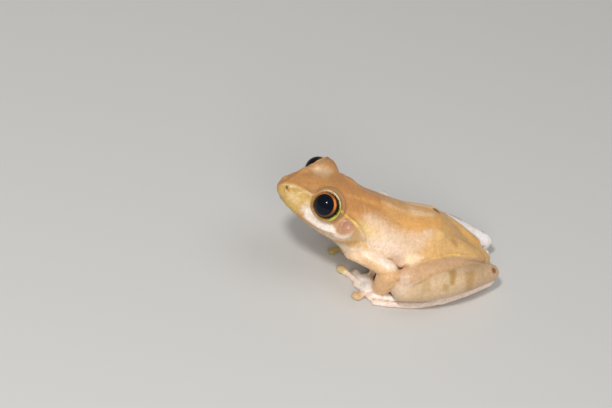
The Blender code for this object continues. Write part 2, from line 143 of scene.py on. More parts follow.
def length(name, description, default):
    return bpy.props.FloatProperty(
        name=name, description=description, default=default, min=0, unit="LENGTH",
        subtype="DISTANCE", precision=5,
    )


def power(name, description, default):
    return bpy.props.FloatProperty(
        name=name, description=description, default=default, min=0, unit="POWER"
    )


class FrogSkinSettings(bpy.types.PropertyGroup):
    grain: length("Grain", "Side of the cells that the skin is made from", 0.25 * MM)
    bridge: length("Bridge", "How far the solids swell to close the gaps between them", 0.2 * MM)
    granule: length("Granule", "Width of the small grains of the skin", 0.34 * MM)
    relief: length("Relief", "Height of the small grains of the skin", 0.03 * MM)
    roughness: bpy.props.FloatProperty(
        name="Roughness", description="Roughness under the wet film", default=0.46, min=0, max=1
    )
    back: tint("Back", "Orange tan of the crown", (0.57, 0.28, 0.095))
    # The paints, in the order in which they lie over the back's tint and over each other
    dorsum: tint("Mid back", "Paler tan of the middle of the back", (0.75, 0.415, 0.155))
    rump: tint("Rump", "Brown tan of the rump", (0.77, 0.44, 0.145))
    flank: tint("Flank", "Pinkish beige of the flanks", (0.86, 0.62, 0.43))
    rear_flank: tint("Rear flank", "Ochre tan of the rear flank", (0.78, 0.49, 0.20))
    belly: tint("Belly", "Pale underside", (0.88, 0.73, 0.53))
    neck: tint("Neck", "Orange tan of the neck", (0.62, 0.29, 0.097))
    hump: tint("Hump", "Pale tan of the hump of the back", (0.90, 0.63, 0.36))
    orange: tint("Orange band", "Orange bands along the back", (0.82, 0.43, 0.135))
    # Pinkish white of the fore flank; the same paint is a painted highlight on the sacral bump
    cream: tint("Flank cream", "Pinkish white of the fore flank", (0.94, 0.75, 0.60))
    groin: tint("Groin", "Yellow cream before the thigh", (0.98, 0.84, 0.56))
    thigh: tint("Thigh", "Pinkish tan of the thighs", (0.67, 0.42, 0.235))
    shank: tint("Shank", "Cream tan of the shanks", (0.68, 0.49, 0.30))
    upper_arm: tint("Upper arm", "Tan of the upper arms", (0.86, 0.56, 0.31))
    # Painted highlight: cream white along the upper arm's top
    arm_pale: tint("Pale arm", "Cream white of the upper arm's top", (0.93, 0.74, 0.56))
    forearm: tint("Forearm", "Orange tan of the forearms", (0.86, 0.53, 0.265))
    hand: tint("Hand", "Lilac cream of the hands", (0.84, 0.68, 0.55))
    foot: tint("Foot", "Pinkish tan of the feet", (0.98, 0.80, 0.69))
    shank_rear: tint("Shank rear", "Browner end of the shanks", (0.63, 0.42, 0.245))
    knee: tint("Knee", "Pinkish cream of the knees", (0.72, 0.56, 0.44))
    # Painted highlight: whitish sheen on the far heel, shank and elbow
    white_limb: tint("White limb", "Whitish skin of the right heel and elbow", (0.83, 0.80, 0.81))
    bar: tint("Bar", "Greenish brown bars of the legs", (0.44, 0.26, 0.08))
    # White band along the toes; the same paint is a painted highlight on the elbow, the foot's
    # lower strip and the inner finger
    toe_white: tint("White toe", "White band along the toes", (0.88, 0.82, 0.77))
    disc: tint("Disc", "Greenish cream of the end discs", (0.66, 0.51, 0.245))
    disc_rim: tint("Disc rim", "Peach rim of the end discs", (0.78, 0.42, 0.26))
    tip: tint("Tip", "Dark red tip of one finger", (0.20, 0.06, 0.05))
    # The far fingers' olive yellow: partly their own colour, partly painted shade under the chin
    olive: tint("Olive finger", "Olive yellow of the far fingers", (0.50, 0.38, 0.11))
    heel: tint("Heel", "Reddish brown spot on the heel", (0.28, 0.11, 0.05))
    snout: tint("Snout side", "Ochre of the side of the snout", (0.63, 0.41, 0.13))
    snout_pale: tint("Snout patch", "Beige patches of the side of the snout", (0.73, 0.53, 0.27))
    cheek: tint("Cheek", "Pinkish tan skin round the ear", (0.62, 0.385, 0.19))
    cheek_pale: tint("Cheek low", "Pinkish white under the ear", (0.94, 0.78, 0.68))
    # White of the upper lip; the same paint is a painted highlight on the nostril's rim
    lip: tint("Lip", "White of the upper lip", (0.90, 0.80, 0.71))
    lower_lip: tint("Lower lip", "Lilac band under the mouth", (0.58, 0.46, 0.33))
    lip_shade: tint("Lip shade", "Grey brown line of the mouth", (0.30, 0.22, 0.15))
    tympanum: tint("Tympanum", "Pinkish brown of the ear disc", (0.58, 0.30, 0.19))
    ear_yellow: tint("Ear yellow", "Yellow cream behind the ear", (0.97, 0.69, 0.28))
    throat: tint("Throat", "Lilac beige of the throat", (0.94, 0.75, 0.54))
    # Painted shade along the underside edges of the snout, jaw and throat, tinted olive as by light
    # thrown up from below
    jaw: tint("Jaw edge", "Olive yellow edge of the lower jaw", (0.44, 0.32, 0.075))
    fold: tint("Throat fold", "Orange brown fold behind the jaw", (0.60, 0.34, 0.09))
    ear_rim: tint("Ear rim", "Brown upper rim of the ear disc", (0.42, 0.21, 0.10))
    # Painted highlight: a pale pink gleam laid on the ear disc
    glint: tint("Ear gleam", "Pale pink gleam of the ear disc", (0.88, 0.68, 0.62))
    lid_dome: tint("Lid dome", "Beige of the lids towards the crown", (0.62, 0.42, 0.24))
    lid: tint("Lid", "Tan of the lids' ring", (0.56, 0.34, 0.13))
    lid_edge: tint("Lid edge", "Cream edge of the lids", (0.92, 0.79, 0.48))
    lid_green: tint("Lid green", "Yellow green edge of the lids", (0.55, 0.52, 0.08))
    lid_line: tint("Lid fold", "Brown line round the lids", (0.28, 0.15, 0.065))
    # Painted shade in the folds between limbs and between the foot's strips
    crease: tint("Crease", "Brown of the folds between limbs", (0.38, 0.20, 0.09))
    yellow: tint("Yellow line", "Yellow lines and marks", (0.95, 0.62, 0.15))
    # Dark specks of the back; the same paint is painted shade in the nostril and over the far lid's
    # dome
    speck: tint("Speck", "Dark specks of the back", (0.20, 0.10, 0.05))


SKIN_SETTINGS = tuple(FrogSkinSettings.__annotations__)
PAINT_ORDER = SKIN_SETTINGS[SKIN_SETTINGS.index("back") + 1:]


class FrogEyeSettings(bpy.types.PropertyGroup):
    pupil: length("Pupil", "Radius of the round pupil", 1.62 * MM)
    iris_rim: length("Iris", "Radius at which the iris meets its dark rim", 1.93 * MM)
    bulge: length("Bulge", "How far the clear front stands proud of the ball", 0.12 * MM)
    pupil_tint: tint("Pupil tint", "Blue black of the pupil", (0.003, 0.005, 0.011))
    iris_tint: tint("Iris tint", "Orange of the iris", (0.85, 0.27, 0.045))
    iris_shade: tint("Iris shade", "Brown of the iris' dim parts", (0.085, 0.04, 0.018))
    rim_tint: tint("Rim tint", "Dark ring outside the iris", (0.012, 0.007, 0.006))


class FrogStageSettings(bpy.types.PropertyGroup):
    lens: bpy.props.FloatProperty(
        name="Lens", description="Focal length", default=180.0, min=1, unit="CAMERA"
    )
    scale: bpy.props.FloatProperty(
        name="Scale", description="Pixels of the view for each metre of the frog", default=6200.0
    )
    floor: tint("Floor", "Pale floor", (0.66, 0.65, 0.63))
    floor_width: length("Floor width", "Side of the floor", 3.0)
    flash: power("Flash", "Power of the small bright lamp by the camera", 0.8)
    fill: power("Fill", "Power of the large soft lamp above", 0.8)
    front: power("Front", "Power of the soft lamp by the camera", 1.1)
    ambient: bpy.props.FloatProperty(
        name="Ambient", description="Strength of the even light of the room", default=0.24, min=0
    )


# View
def lens_pixels():
    return VIEW_SIZE[0] * bpy.context.scene.frog_stage.lens / SENSOR


def camera_place():
    scale = bpy.context.scene.frog_stage.scale
    across = (HEEL_PIXEL[0] - VIEW_SIZE[0] / 2) / scale
    down = (HEEL_PIXEL[1] - VIEW_SIZE[1] / 2) / scale
    aim = HEEL - VIEW_RIGHT * across + VIEW_UP * down
    return aim + VIEW_BACK * lens_pixels() / scale


def pixels_of(places):
    """The column and row of the view at which each place shows."""
    away = places - np.array(camera_place())
    depth = -(away @ np.array(VIEW_BACK))
    columns = VIEW_SIZE[0] / 2 + lens_pixels() * (away @ np.array(VIEW_RIGHT)) / depth
    rows = VIEW_SIZE[1] / 2 - lens_pixels() * (away @ np.array(VIEW_UP)) / depth
    return np.stack((columns, rows), 1)


def clock_of(away):
    """The angle of each offset in the view, in degrees from its right side upwards."""
    return np.degrees(np.arctan2(away @ np.array(VIEW_UP), away @ np.array(VIEW_RIGHT)))


def place_at(tree, pixel):
    """The place of the skin that shows at the pixel, or the nearest one to its line of sight."""
    start = camera_place()
    across = VIEW_RIGHT * (pixel[0] - VIEW_SIZE[0] / 2)
    down = VIEW_UP * (pixel[1] - VIEW_SIZE[1] / 2)
    ray = (across - down - VIEW_BACK * lens_pixels()).normalized()
    hit = tree.ray_cast(start, ray)[0]
    if hit is None:
        reach = (HEEL - start).length
        near = [tree.find_nearest(start + ray * (reach + step * MM)) for step in SEARCH_STEPS_MM]
        hit = min(near, key=lambda found: found[3])[0]
    return hit


# Mesh
def start_clean():
    """Object mode with nothing selected."""
    if bpy.context.object and bpy.context.object.mode != "OBJECT":
        bpy.ops.object.mode_set(mode="OBJECT")
    bpy.ops.object.select_all(action="DESELECT")


def make_active(piece):
    start_clean()
    piece.select_set(True)
    bpy.context.view_layer.objects.active = piece


def apply_modifier(piece, kind, **values):
    make_active(piece)
    modifier = piece.modifiers.new(kind.lower(), kind)
    for name, value in values.items():
        setattr(modifier, name, value)
    bpy.ops.object.modifier_apply(modifier=modifier.name)


def read_vectors(items, field):
    flat = np.empty(len(items) * 3)
    items.foreach_get(field, flat)
    return flat.reshape(-1, 3)


def read_points(piece):
    return read_vectors(piece.data.vertices, "co")


def write_points(piece, points):
    piece.data.vertices.foreach_set("co", points.ravel())
    piece.data.update()


def write_values(piece, name, values):
    """Writes one number for each point of the piece, for its material to read."""
    attribute = piece.data.attributes.new(name, "FLOAT", "POINT")
    attribute.data.foreach_set("value", values.astype(np.float32))


SMOOTH_FACTOR = 0.5
LEAST_WEIGHT = 0.01


def smooth_where(piece, weights, turns):
    """Smooths the piece, most where the weights are 1."""
    group = piece.vertex_groups.new(name="loose")
    for index in np.flatnonzero(weights > LEAST_WEIGHT):
        group.add([int(index)], float(weights[index]), "REPLACE")
    apply_modifier(piece, "SMOOTH", factor=SMOOTH_FACTOR, iterations=turns, vertex_group="loose")
    piece.vertex_groups.clear()


def step_up(values, low, high):
    """0 below low, 1 above high, and a smooth rise between them."""
    t = np.clip((values - low) / (high - low), 0, 1)
    return t * t * (3 - 2 * t)


def hill(values, middle, width):
    return np.exp(-(((values - middle) / width) ** 2))


def hills(values, forms):
    """The sum of hills and hollows, each with its middle, half width and height."""
    return sum(hill(values, middle, width) * height for middle, width, height in forms)


def far_from(points, middle):
    return np.linalg.norm(points - np.array(middle), axis=1)


# How far from a solid its distance is still measured
REACH_MM = 1.6


def distances(points):
    """How far each point lies from each solid, in millimetres, up to the reach."""
    found = {}
    for name in FLESH_NODES:
        mesh = frame["nodes"][name].data
        corners = [vertex.co for vertex in mesh.vertices]
        tree = BVHTree.FromPolygons(corners, [tuple(polygon.vertices) for polygon in mesh.polygons])
        low = np.array(corners).min(0) - REACH_MM * MM
        high = np.array(corners).max(0) + REACH_MM * MM
        away = np.full(len(points), REACH_MM)
        for index in np.flatnonzero(np.all((points > low) & (points < high), axis=1)):
            hit = tree.find_nearest(points[index], REACH_MM * MM)
            if hit[0] is not None:
                away[index] = hit[3] / MM
        found[name] = away
    return found


def least(near, names):
    return np.min([near[name] for name in names], axis=0)


# Skin: form

# How near to each other the corners of a solid's loose triangles lie
CORNER_REACH = 0.001 * MM


def skin_form(settings):
    """The solids, swollen till they meet, as one closed soft form."""
    start_clean()
    copies = []
    for name in FLESH_NODES:
        copy = bpy.data.objects.new("skin_of_" + name, frame["nodes"][name].data.copy())
        bpy.context.scene.collection.objects.link(copy)
        copies.append(copy)
    for copy in copies:
        copy.select_set(True)
    bpy.context.view_layer.objects.active = copies[0]
    bpy.ops.object.mode_set(mode="EDIT")
    bpy.ops.mesh.select_all(action="SELECT")
    bpy.ops.mesh.remove_doubles(threshold=CORNER_REACH)
    bpy.ops.transform.shrink_fatten(value=settings.bridge)
    bpy.ops.object.mode_set(mode="OBJECT")
    bpy.ops.object.join()
    skin = bpy.context.object
    skin.name = "skin"
    skin.data.name = "skin"
    apply_modifier(skin, "REMESH", mode="VOXEL", voxel_size=settings.grain, use_smooth_shade=True)
    return skin


# Smoothing: how far round digits and eyes the skin is kept firm, how firm, and the turns
DIGIT_FIRM_MM = (0.3, 0.9)
EYE_FIRM = (3.0 * MM, 4.2 * MM)
FIRMNESS = 0.85
SMOOTH_TURNS = 14
# The joints with the torso that are smoothed again: the solids and the turns, and their reach
JOINTS = ((UPPER_ARM, 25), (THIGH, 25), (HEAD, 70))
JOINT_REACH_MM = (0.6, 1.4)


def soften(skin):
    """Rounds off the solids' facets: most on the trunk, least on the digits and lids."""
    points = read_points(skin)
    near = distances(points)
    firm = 1 - step_up(least(near, HAND + FOOT), *DIGIT_FIRM_MM)
    for eye in (LEFT_EYE, RIGHT_EYE):
        firm = np.maximum(firm, 1 - step_up(far_from(points, eye), *EYE_FIRM))
    smooth_where(skin, 1 - FIRMNESS * firm, SMOOTH_TURNS)
    for part, turns in JOINTS:
        joint = np.maximum(least(near, part), least(near, TORSO))
        smooth_where(skin, 1 - step_up(joint, *JOINT_REACH_MM), turns)


# The head's fine cells: how far back and down they reach, and how far a face may turn down
FINE_REAR_MM = -8.0
FINE_LOW_MM = 9.5
FINE_FACING = -0.6
FINE_FADE_MM = 1.0
FINE_TURNS = 3
# What counts as a socket's wall, and how far inwards of the eye's middle it is still fine
SOCKET_WALL = 0.1 * MM
SOCKET_INNER = -0.3 * MM


def wants_fine_cells(middle, normal):
    """The head's top and sides, and the lids, but not the throat or the sockets' inner walls."""
    for eye in (LEFT_EYE, RIGHT_EYE):
        away = middle - eye
        if away.length < EYE_RADIUS + SOCKET_WALL:
            return away.x * (eye.x - MIDDLE_X) > SOCKET_INNER * abs(eye.x - MIDDLE_X)
    place = (middle - SHIFT) / MM
    return place.y < FINE_REAR_MM and place.z > FINE_LOW_MM and normal.z > FINE_FACING


def refine_head(skin):
    """Halves the cells of the head, whose lids and lips need fine edges."""
    make_active(skin)
    bpy.ops.object.mode_set(mode="EDIT")
    bpy.ops.mesh.select_all(action="DESELECT")
    bpy.ops.mesh.select_mode(type="FACE")
    mesh = bmesh.from_edit_mesh(skin.data)
    for face in mesh.faces:
        if wants_fine_cells(face.calc_center_median(), face.normal):
            face.select_set(True)
    bmesh.update_edit_mesh(skin.data)
    bpy.ops.mesh.subdivide(number_cuts=1, smoothness=0.0)
    bpy.ops.object.mode_set(mode="OBJECT")
    along = ((read_points(skin) - np.array(SHIFT)) / MM)[:, 1]
    smooth_where(skin, 1 - step_up(along, FINE_REAR_MM, FINE_REAR_MM + FINE_FADE_MM), FINE_TURNS)


def flipped(points):
    """Places with those of the right side taken to the left."""
    out = points.copy()
    out[:, 0] = np.abs(points[:, 0] - MIDDLE_X) + MIDDLE_X
    return out


def make_canvas(skin):
    """What forms and marks are laid by: places, facing, nearness of the solids, search tree."""
    points = read_points(skin)
    normals = read_vectors(skin.data.vertex_normals, "vector")
    left = flipped(points)
    turned = normals.copy()
    turned[:, 0] *= np.where(points[:, 0] < MIDDLE_X, -1, 1)
    polygons = [tuple(polygon.vertices) for polygon in skin.data.polygons]
    return {
        "points": points,
        "normals": normals,
        "left": left,
        "mm": (left - np.array(SHIFT)) / MM,
        "near": distances(points),
        "both": (pixels_of(left), turned @ np.array(VIEW_BACK)),
        "one": (pixels_of(points), normals @ np.array(VIEW_BACK)),
        "tree": BVHTree.FromPolygons([Vector(point) for point in points], polygons),
        "eye": eye_measures(left),
    }


# The fold outside the lids: its distance from the eye's axis by the angle up from the view's right
LID_FOLD_MM = ((-180, 2.36), (-90, 2.64), (0, 2.56), (90, 2.61), (180, 2.36))
# Where the lids set in along the eye's axis, and end round its middle
LID_FRONT_MM = (0.0, 0.5)
LID_END_MM = (3.7, 4.2)
# The side of the lids that turns to the crown, and how far a point has to lie towards it
CROWN_SIDE = Vector((-0.8, 0.1, 0.6)).normalized()
CROWN_SHARE = (0.2, 0.75)


def eye_measures(left):
    """How each point lies to the eye: distances, angle, and share of the lids and crown."""
    away = left - np.array(LEFT_EYE)
    reach = np.linalg.norm(away, axis=1)
    unit = away / np.maximum(reach, TINY)[:, None]
    axial = away @ np.array(EYE_AXIS)
    from_axis = np.linalg.norm(away - axial[:, None] * np.array(EYE_AXIS), axis=1)
    clock = clock_of(away)
    return {
        "unit": unit,
        "reach": reach,
        "axial": axial,
        "clock": clock,
        "past_fold": from_axis / MM - np.interp(clock, *zip(*LID_FOLD_MM)),
        "front": step_up(axial / MM, *LID_FRONT_MM) * (1 - step_up(reach / MM, *LID_END_MM)),
        "crown": step_up(unit @ np.array(CROWN_SIDE), *CROWN_SHARE),
    }


# Folds between solids: the two sides, depth and half width in millimetres, darkness of the shade
# painted into the fold, and the columns of the view between which the fold sets in.
CREASES = (
    (SHANK, THIGH, 0.16, 0.20, 0.15, (408, 420)),
    (SHANK, TORSO, 0.30, 0.30, 0.6, None),
    (THIGH, TORSO, 0.10, 0.30, 0.15, (460, 444)),
    (FOOT, SHANK, 0.24, 0.13, 0.45, (388, 396)),
    (FOOT, THIGH, 0.30, 0.26, 0.9, None),
    (FOOT, TORSO, 0.30, 0.30, 0.6, None),
    (FOOT, HAND + FOREARM, 0.20, 0.16, 0.45, None),
    (UPPER_ARM, TRUNK, 0.03, 0.32, 0.05, None),
    (FOREARM, TRUNK, 0.25, 0.32, 0.6, None),
    (FOREARM, UPPER_ARM, 0.04, 0.32, 0.05, None),
    (LEG, ARM, 0.16, 0.22, 0.35, None),
    (("lower_jaw",), TORSO, 0.12, 0.30, 0.2, None),
)
# How near to both solids a fold lies
CREASE_REACH_MM = (0.7, 1.3)


def creases(canvas):
    """How deep the folds between the solids are at each point, and how dark their painted shade is.
    """
    depth = np.zeros(len(canvas["left"]))
    dark = np.zeros(len(canvas["left"]))
    columns = canvas["both"][0][:, 0]
    for one, two, deep, width, shade, span in CREASES:
        to_one = least(canvas["near"], one)
        to_two = least(canvas["near"], two)
        fold = hill(to_one - to_two, 0.0, width)
        fold *= 1 - step_up((to_one + to_two) / 2, *CREASE_REACH_MM)
        if span:
            fold *= step_up(columns, *span)
        depth = np.maximum(depth, fold * deep)
        dark = np.maximum(dark, fold * shade)
    return depth, dark


# The ridge from the nostril to the eye: its pixels, and the columns where it sets in and ends
CANTHUS_LINE = ((278, 184), (284, 182.5), (291, 183.5), (298, 186), (305, 190), (313, 195))
CANTHUS_START = (279, 285)
CANTHUS_END = (308, 314)
CANTHUS_FACING = (0.05, 0.35)
# The ridge and its hollow: rows below the line, half width in pixels and height in millimetres
CANTHUS_FORMS = ((-0.8, 2.2, 0.13), (5.5, 4.0, -0.14))


def canthus(canvas):
    """The ridge from the nostril to the eye, with the hollow side of the snout under it."""
    pixels, facing = canvas["both"]
    below = pixels[:, 1] - np.interp(pixels[:, 0], *zip(*CANTHUS_LINE))
    span = step_up(pixels[:, 0], *CANTHUS_START) * (1 - step_up(pixels[:, 0], *CANTHUS_END))
    span = span * step_up(facing, *CANTHUS_FACING) * share_of(canvas, HEAD)
    return span * hills(below, CANTHUS_FORMS)


# The groove of the mouth, by the distance from its parting, and where it ends along the head
MOUTH_GROOVE_MM = (0.0, 0.16, -0.12)
MOUTH_END_MM = (-9.7, -8.9)
# Rings, pits and hollows of the head, all in millimetres: the middle, and for each ring its
# radius, half width and height
EAR_MM = (6.0, -9.2, 13.6)
NOSTRIL_MM = (1.7, -18.95, 17.0)
CHIN_MM = (1.0, -19.3, 14.2)
HEAD_FORMS_MM = (
    (EAR_MM, ((1.38, 0.28, 0.05),)),
    (NOSTRIL_MM, ((0.45, 0.18, 0.09), (0.0, 0.24, -0.30))),
    (CHIN_MM, ((0.0, 1.8, -0.3),)),
)
# The sunken disc of the ear: where its edge rises, and its depth
EAR_EDGE_MM = (0.7, 1.35)
EAR_DEPTH_MM = 0.05
HAND_FULLNESS_MM = 0.05
# The corner of the far lid, as a pixel, and how far and how much it is rounded off
FAR_LID_CORNER = (327, 156.5)
FAR_LID_REACH_MM = 0.8
FAR_LID_TURNS = 22


def sculpt(skin, canvas):
    """The forms that are finer than the solids: lids, mouth, ear disc, nostrils and folds."""
    points = canvas["points"]
    mm = canvas["mm"]
    lift = lid_roll(canvas["eye"]) + canthus(canvas) - creases(canvas)[0] + nudges(canvas)
    parting = canvas["near"]["head"] - canvas["near"]["lower_jaw"]
    lift += hills(parting, (MOUTH_GROOVE_MM,)) * (1 - step_up(mm[:, 1], *MOUTH_END_MM))
    for middle, rings in HEAD_FORMS_MM:
        lift += hills(far_from(mm, middle), rings)
    lift -= (1 - step_up(far_from(mm, EAR_MM), *EAR_EDGE_MM)) * EAR_DEPTH_MM
    lift += share_of(canvas, HAND) * HAND_FULLNESS_MM
    moved = hug_eyes(canvas) + spread_discs(points) + draw_in_heel(points)
    points = points + canvas["normals"] * (lift * MM)[:, None] + moved
    points[:, 2] = np.maximum(points[:, 2], 0.0)
    write_points(skin, points)
    corner = far_from(points, place_at(canvas["tree"], FAR_LID_CORNER)) / MM
    smooth_where(skin, hill(corner, 0.0, FAR_LID_REACH_MM), FAR_LID_TURNS)


# Small corrections of the form on one side: pixel, half width and height in millimetres, solids
NUDGES = (
    ((306.5, 169), 1.1, 0.25, HEAD),
    ((334, 165), 1.0, 0.14, HEAD),
    ((337.5, 171), 0.9, 0.2, HEAD),
    ((350, 180.5), 1.9, 0.42, TRUNK),
    ((380, 195), 3.0, 0.22, TORSO),
    ((412, 202.5), 2.5, -0.30, TORSO),
    ((354.5, 286), 0.9, -0.42, HAND),
    ((400.5, 266), 0.5, 0.25, TRUNK + LEG + ARM),
    ((336, 252), 1.0, -0.22, RIGHT_HAND),
)


def nudges(canvas):
    lift = np.zeros(len(canvas["points"]))
    for pixel, width, height, names in NUDGES:
        reach = far_from(canvas["points"], place_at(canvas["tree"], pixel)) / MM
        lift += hill(reach, 0.0, width) * height * share_of(canvas, names)
    return lift


# The fingers' end discs: their middles, where they end aside and above, and how much they widen
DISCS_MM = ((1.0, -6.5), (7.2, -5.1), (-3.3, -7.2), (-8.5, -3.5))
DISC_EDGE_MM = (0.7, 1.2)
DISC_TOP_MM = 1.5
DISC_SPREAD = (0.22, 0.22, 0.1)


def spread_discs(points):
    """How far each point moves to widen the fingers' end discs."""
    places = (points - np.array(SHIFT)) / MM
    moved = np.zeros_like(points)
    for x, y in DISCS_MM:
        away = places - (x, y, 0.0)
        reach = np.linalg.norm(away[:, :2], axis=1)
        share = (1 - step_up(reach, *DISC_EDGE_MM)) * (places[:, 2] < DISC_TOP_MM)
        moved += away * (share * MM)[:, None] * DISC_SPREAD
    return moved


# The folded right leg: how far to the right and back its move sets in, and the move
HEEL_ASIDE_MM = (1.5, 5.5)
HEEL_REAR_MM = (5.0, 14.0)
HEEL_MOVE_MM = (0.9, 0.6, 0.0)


def draw_in_heel(points):
    """How far each point of the folded right leg moves, most at its heel, inwards and back."""
    places = (points - np.array(SHIFT)) / MM
    share = step_up(-places[:, 0], *HEEL_ASIDE_MM) * step_up(places[:, 1], *HEEL_REAR_MM)
    return (share * MM)[:, None] * HEEL_MOVE_MM


# The lids' inner side: radius of their opening, how much nearer to the eye's axis the hold sets
# in as an angle, how far from the ball it reaches, and the gap that it leaves
LID_OPENING = 2.05 * MM
LID_EDGE_ANGLE = 0.2
LID_HOLD = 0.36 * MM
LID_GAP = 0.02 * MM


def hug_eyes(canvas):
    """Moves the lids' inner side close to the eyeball."""
    eye = canvas["eye"]
    edge = asin(LID_OPENING / EYE_RADIUS) - LID_EDGE_ANGLE
    angle = np.arccos(np.clip(eye["axial"] / np.maximum(eye["reach"], TINY), -1, 1))
    inside = (eye["reach"] < EYE_RADIUS + LID_HOLD) & (angle > edge)
    shift = np.where(inside, EYE_RADIUS + LID_GAP - eye["reach"], 0.0)
    moved = eye["unit"] * shift[:, None]
    moved[:, 0] *= np.where(canvas["points"][:, 0] < MIDDLE_X, -1, 1)
    return moved


# The lids' roll, its groove and a faint outer fold: distance past the fold line, half width and
# height; how far above the ball they set in; and how much fainter they are at the crown
LID_ROLL_MM = ((-0.29, 0.14, 0.10), (0.0, 0.12, -0.12), (0.33, 0.2, 0.04))
LID_RISE_MM = (0.3, 0.45)
LID_ROLL_FADE = 0.85


def lid_roll(eye):
    """The rolled edge of the lids and the groove outside it, faint towards the crown."""
    outside = step_up((eye["reach"] - EYE_RADIUS) / MM, *LID_RISE_MM)
    roll = hills(eye["past_fold"], LID_ROLL_MM)
    return roll * outside * eye["front"] * (1 - LID_ROLL_FADE * eye["crown"])


class FROG_OT_skin(bpy.types.Operator):
    """Makes the one skin that stands for all the flesh"""
    bl_idname = "frog.skin"
    bl_label = "Make skin"

    def execute(self, context):
        settings = context.scene.frog_skin
        skin = skin_form(settings)
        soften(skin)
        make_active(skin)
        bpy.ops.object.mode_set(mode="EDIT")
        bpy.ops.mesh.select_all(action="SELECT")
        bpy.ops.transform.shrink_fatten(value=-settings.bridge)
        bpy.ops.object.mode_set(mode="OBJECT")
        refine_head(skin)
        canvas = make_canvas(skin)
        sculpt(skin, canvas)
        paint(skin, canvas)
        skin.data.materials.clear()
        skin.data.materials.append(skin_material(settings))
        skin.data.shade_smooth()
        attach(skin, BODY)
        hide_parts(*FLESH_NODES)
        return {"FINISHED"}


# Skin: paint
def share_of(canvas, names, soft=0.35):
    """How far each point belongs to the named solids rather than to others."""
    near = canvas["near"]
    others = [name for name in FLESH_NODES if name not in names]
    return step_up(least(near, others) - least(near, names), -soft, soft)


def away_from_line(points, line):
    best = np.full(len(points), np.inf)
    for start, end in zip(line, line[1:]):
        run = end - start
        t = np.clip((points - start) @ run / max(run @ run, TINY ** 2), 0, 1)
        best = np.minimum(best, np.linalg.norm(points - start - t[:, None] * run, axis=1))
    return best


def is_single(paint_name, names):
    """Whether a mark is laid on its own side alone."""
    return paint_name in ("speck", "lid_dome") or all(name.endswith("_right") for name in names)


def stroke(canvas, pixels, width, fade, single):
    """A stroke through the pixels, or a spot at the only one."""
    line = np.array([place_at(canvas["tree"], pixel) for pixel in pixels])
    if len(line) == 1:
        line = np.vstack((line, line))
    if single:
        reach = away_from_line(canvas["points"], line) / MM
    else:
        reach = away_from_line(canvas["left"], flipped(line)) / MM
    return 1 - step_up(reach, width - fade / 2, width + fade / 2)


# How far a surface has to face the view to take an area's paint
AREA_FACING = (-0.1, 0.25)


def area(canvas, pixels, fade, single):
    """An area bounded by the pixels, laid on what faces the view."""
    at, facing = canvas["one" if single else "both"]
    inside = np.zeros(len(at), bool)
    for start, end in zip(pixels, np.roll(pixels, -1, 0)):
        crosses = (start[1] > at[:, 1]) != (end[1] > at[:, 1])
        slope = (at[:, 1] - start[1]) / ((end[1] - start[1]) or TINY)
        inside ^= crosses & (at[:, 0] < start[0] + slope * (end[0] - start[0]))
    edge = away_from_line(at, np.vstack((pixels, pixels[:1])))
    signed = np.where(inside, edge, -edge)
    return step_up(signed, -fade / 2, fade / 2) * step_up(facing, *AREA_FACING)


# Marks: the paint, its strength, its half width in millimetres (0 for an area), its softness
# (millimetres, or pixels for an area), and its pixels, as columns and rows in turn. Each table
# holds marks that lie on the same solids.
BACK_MARKS = (
    ("neck", 1.0, 0, 10, (338, 186, 360, 184, 386, 196, 384, 210, 360, 216, 344, 206)),
    ("neck", 0.5, 0.3, 0.6, (360, 204, 361, 212, 362, 220)),
    ("dorsum", 1.0, 0, 9, (
        378, 190, 400, 198, 432, 202, 446, 214, 446, 227, 432, 230, 412, 230, 398, 224, 384, 213,
        374, 206)),
    ("hump", 0.95, 0, 7, (404, 199, 434, 201, 440, 210, 434, 217, 412, 215)),
    ("hump", 0.35, 0.35, 0.7, (383, 203, 392, 206, 402, 210, 414, 211)),
    ("hump", 0.4, 0.14, 0.4, (364.5, 207, 365, 213, 366, 222)),
    ("hump", 0.35, 0.14, 0.4, (369, 209, 370, 214, 371.5, 222)),
    ("orange", 0.9, 0.7, 1.0, (402, 221, 412, 224, 424, 224, 440, 222)),
    ("orange", 0.8, 0.22, 0.5, (388, 211, 400, 215, 412, 217, 430, 218)),
    ("orange", 0.6, 0.35, 0.7, (350, 196, 362, 199, 374, 203, 384, 208)),
    ("orange", 0.6, 0, 5, (349, 213, 357, 211, 366, 220, 364, 228, 356, 222)),
    ("rump", 0.9, 0, 8, (
        440, 211, 452, 217, 462, 226, 473, 236, 484, 247, 489, 256, 478, 254, 466, 246, 454, 239,
        443, 231)),
    ("rump", 0.5, 0.4, 0.6, (441, 224, 443, 229, 443, 233)),
    ("flank", 0.95, 0, 14, (
        362, 206, 373, 212, 381, 219, 389, 225, 398, 230, 408, 233, 420, 234, 432, 231, 436, 235,
        430, 243, 422, 254, 412, 266, 400, 273, 388, 266, 374, 255, 366, 248, 360, 238, 357, 224)),
    ("ear_yellow", 0.4, 0, 12, (360, 225, 370, 222, 382, 230, 384, 240, 374, 242, 364, 236)),
    ("cream", 0.9, 0, 14, (
        370, 234, 382, 232, 394, 238, 402, 247, 406, 258, 403, 268, 390, 263, 378, 255, 369, 245)),
    # Painted highlight on the sacral bump
    ("cream", 0.5, 0.3, 0.5, (424, 233, 428, 231.5, 431, 231)),
    ("rear_flank", 0.95, 0, 24, (
        434, 229, 446, 232, 456, 240, 470, 248, 486, 256, 470, 258, 450, 257, 436, 260, 420, 262,
        420, 253, 427, 244)),
    ("bar", 0.35, 0.25, 0.5, (446, 236, 450, 240)),
    ("groin", 0.8, 0, 5, (404, 254, 416, 254, 424, 258, 413, 268, 405, 268)),
    ("speck", 0.4, 0.4, 0.7, (453, 241, 456, 245)),
    ("speck", 0.95, 0.48, 0.3, (435.5, 209.8, 438, 211.5)),
    # Painted shade in the nostril's opening
    ("speck", 0.95, 0.2, 0.22, (286.4, 186, 286.8, 188)),
    ("speck", 0.3, 0.15, 0.25, (427, 242)),
)
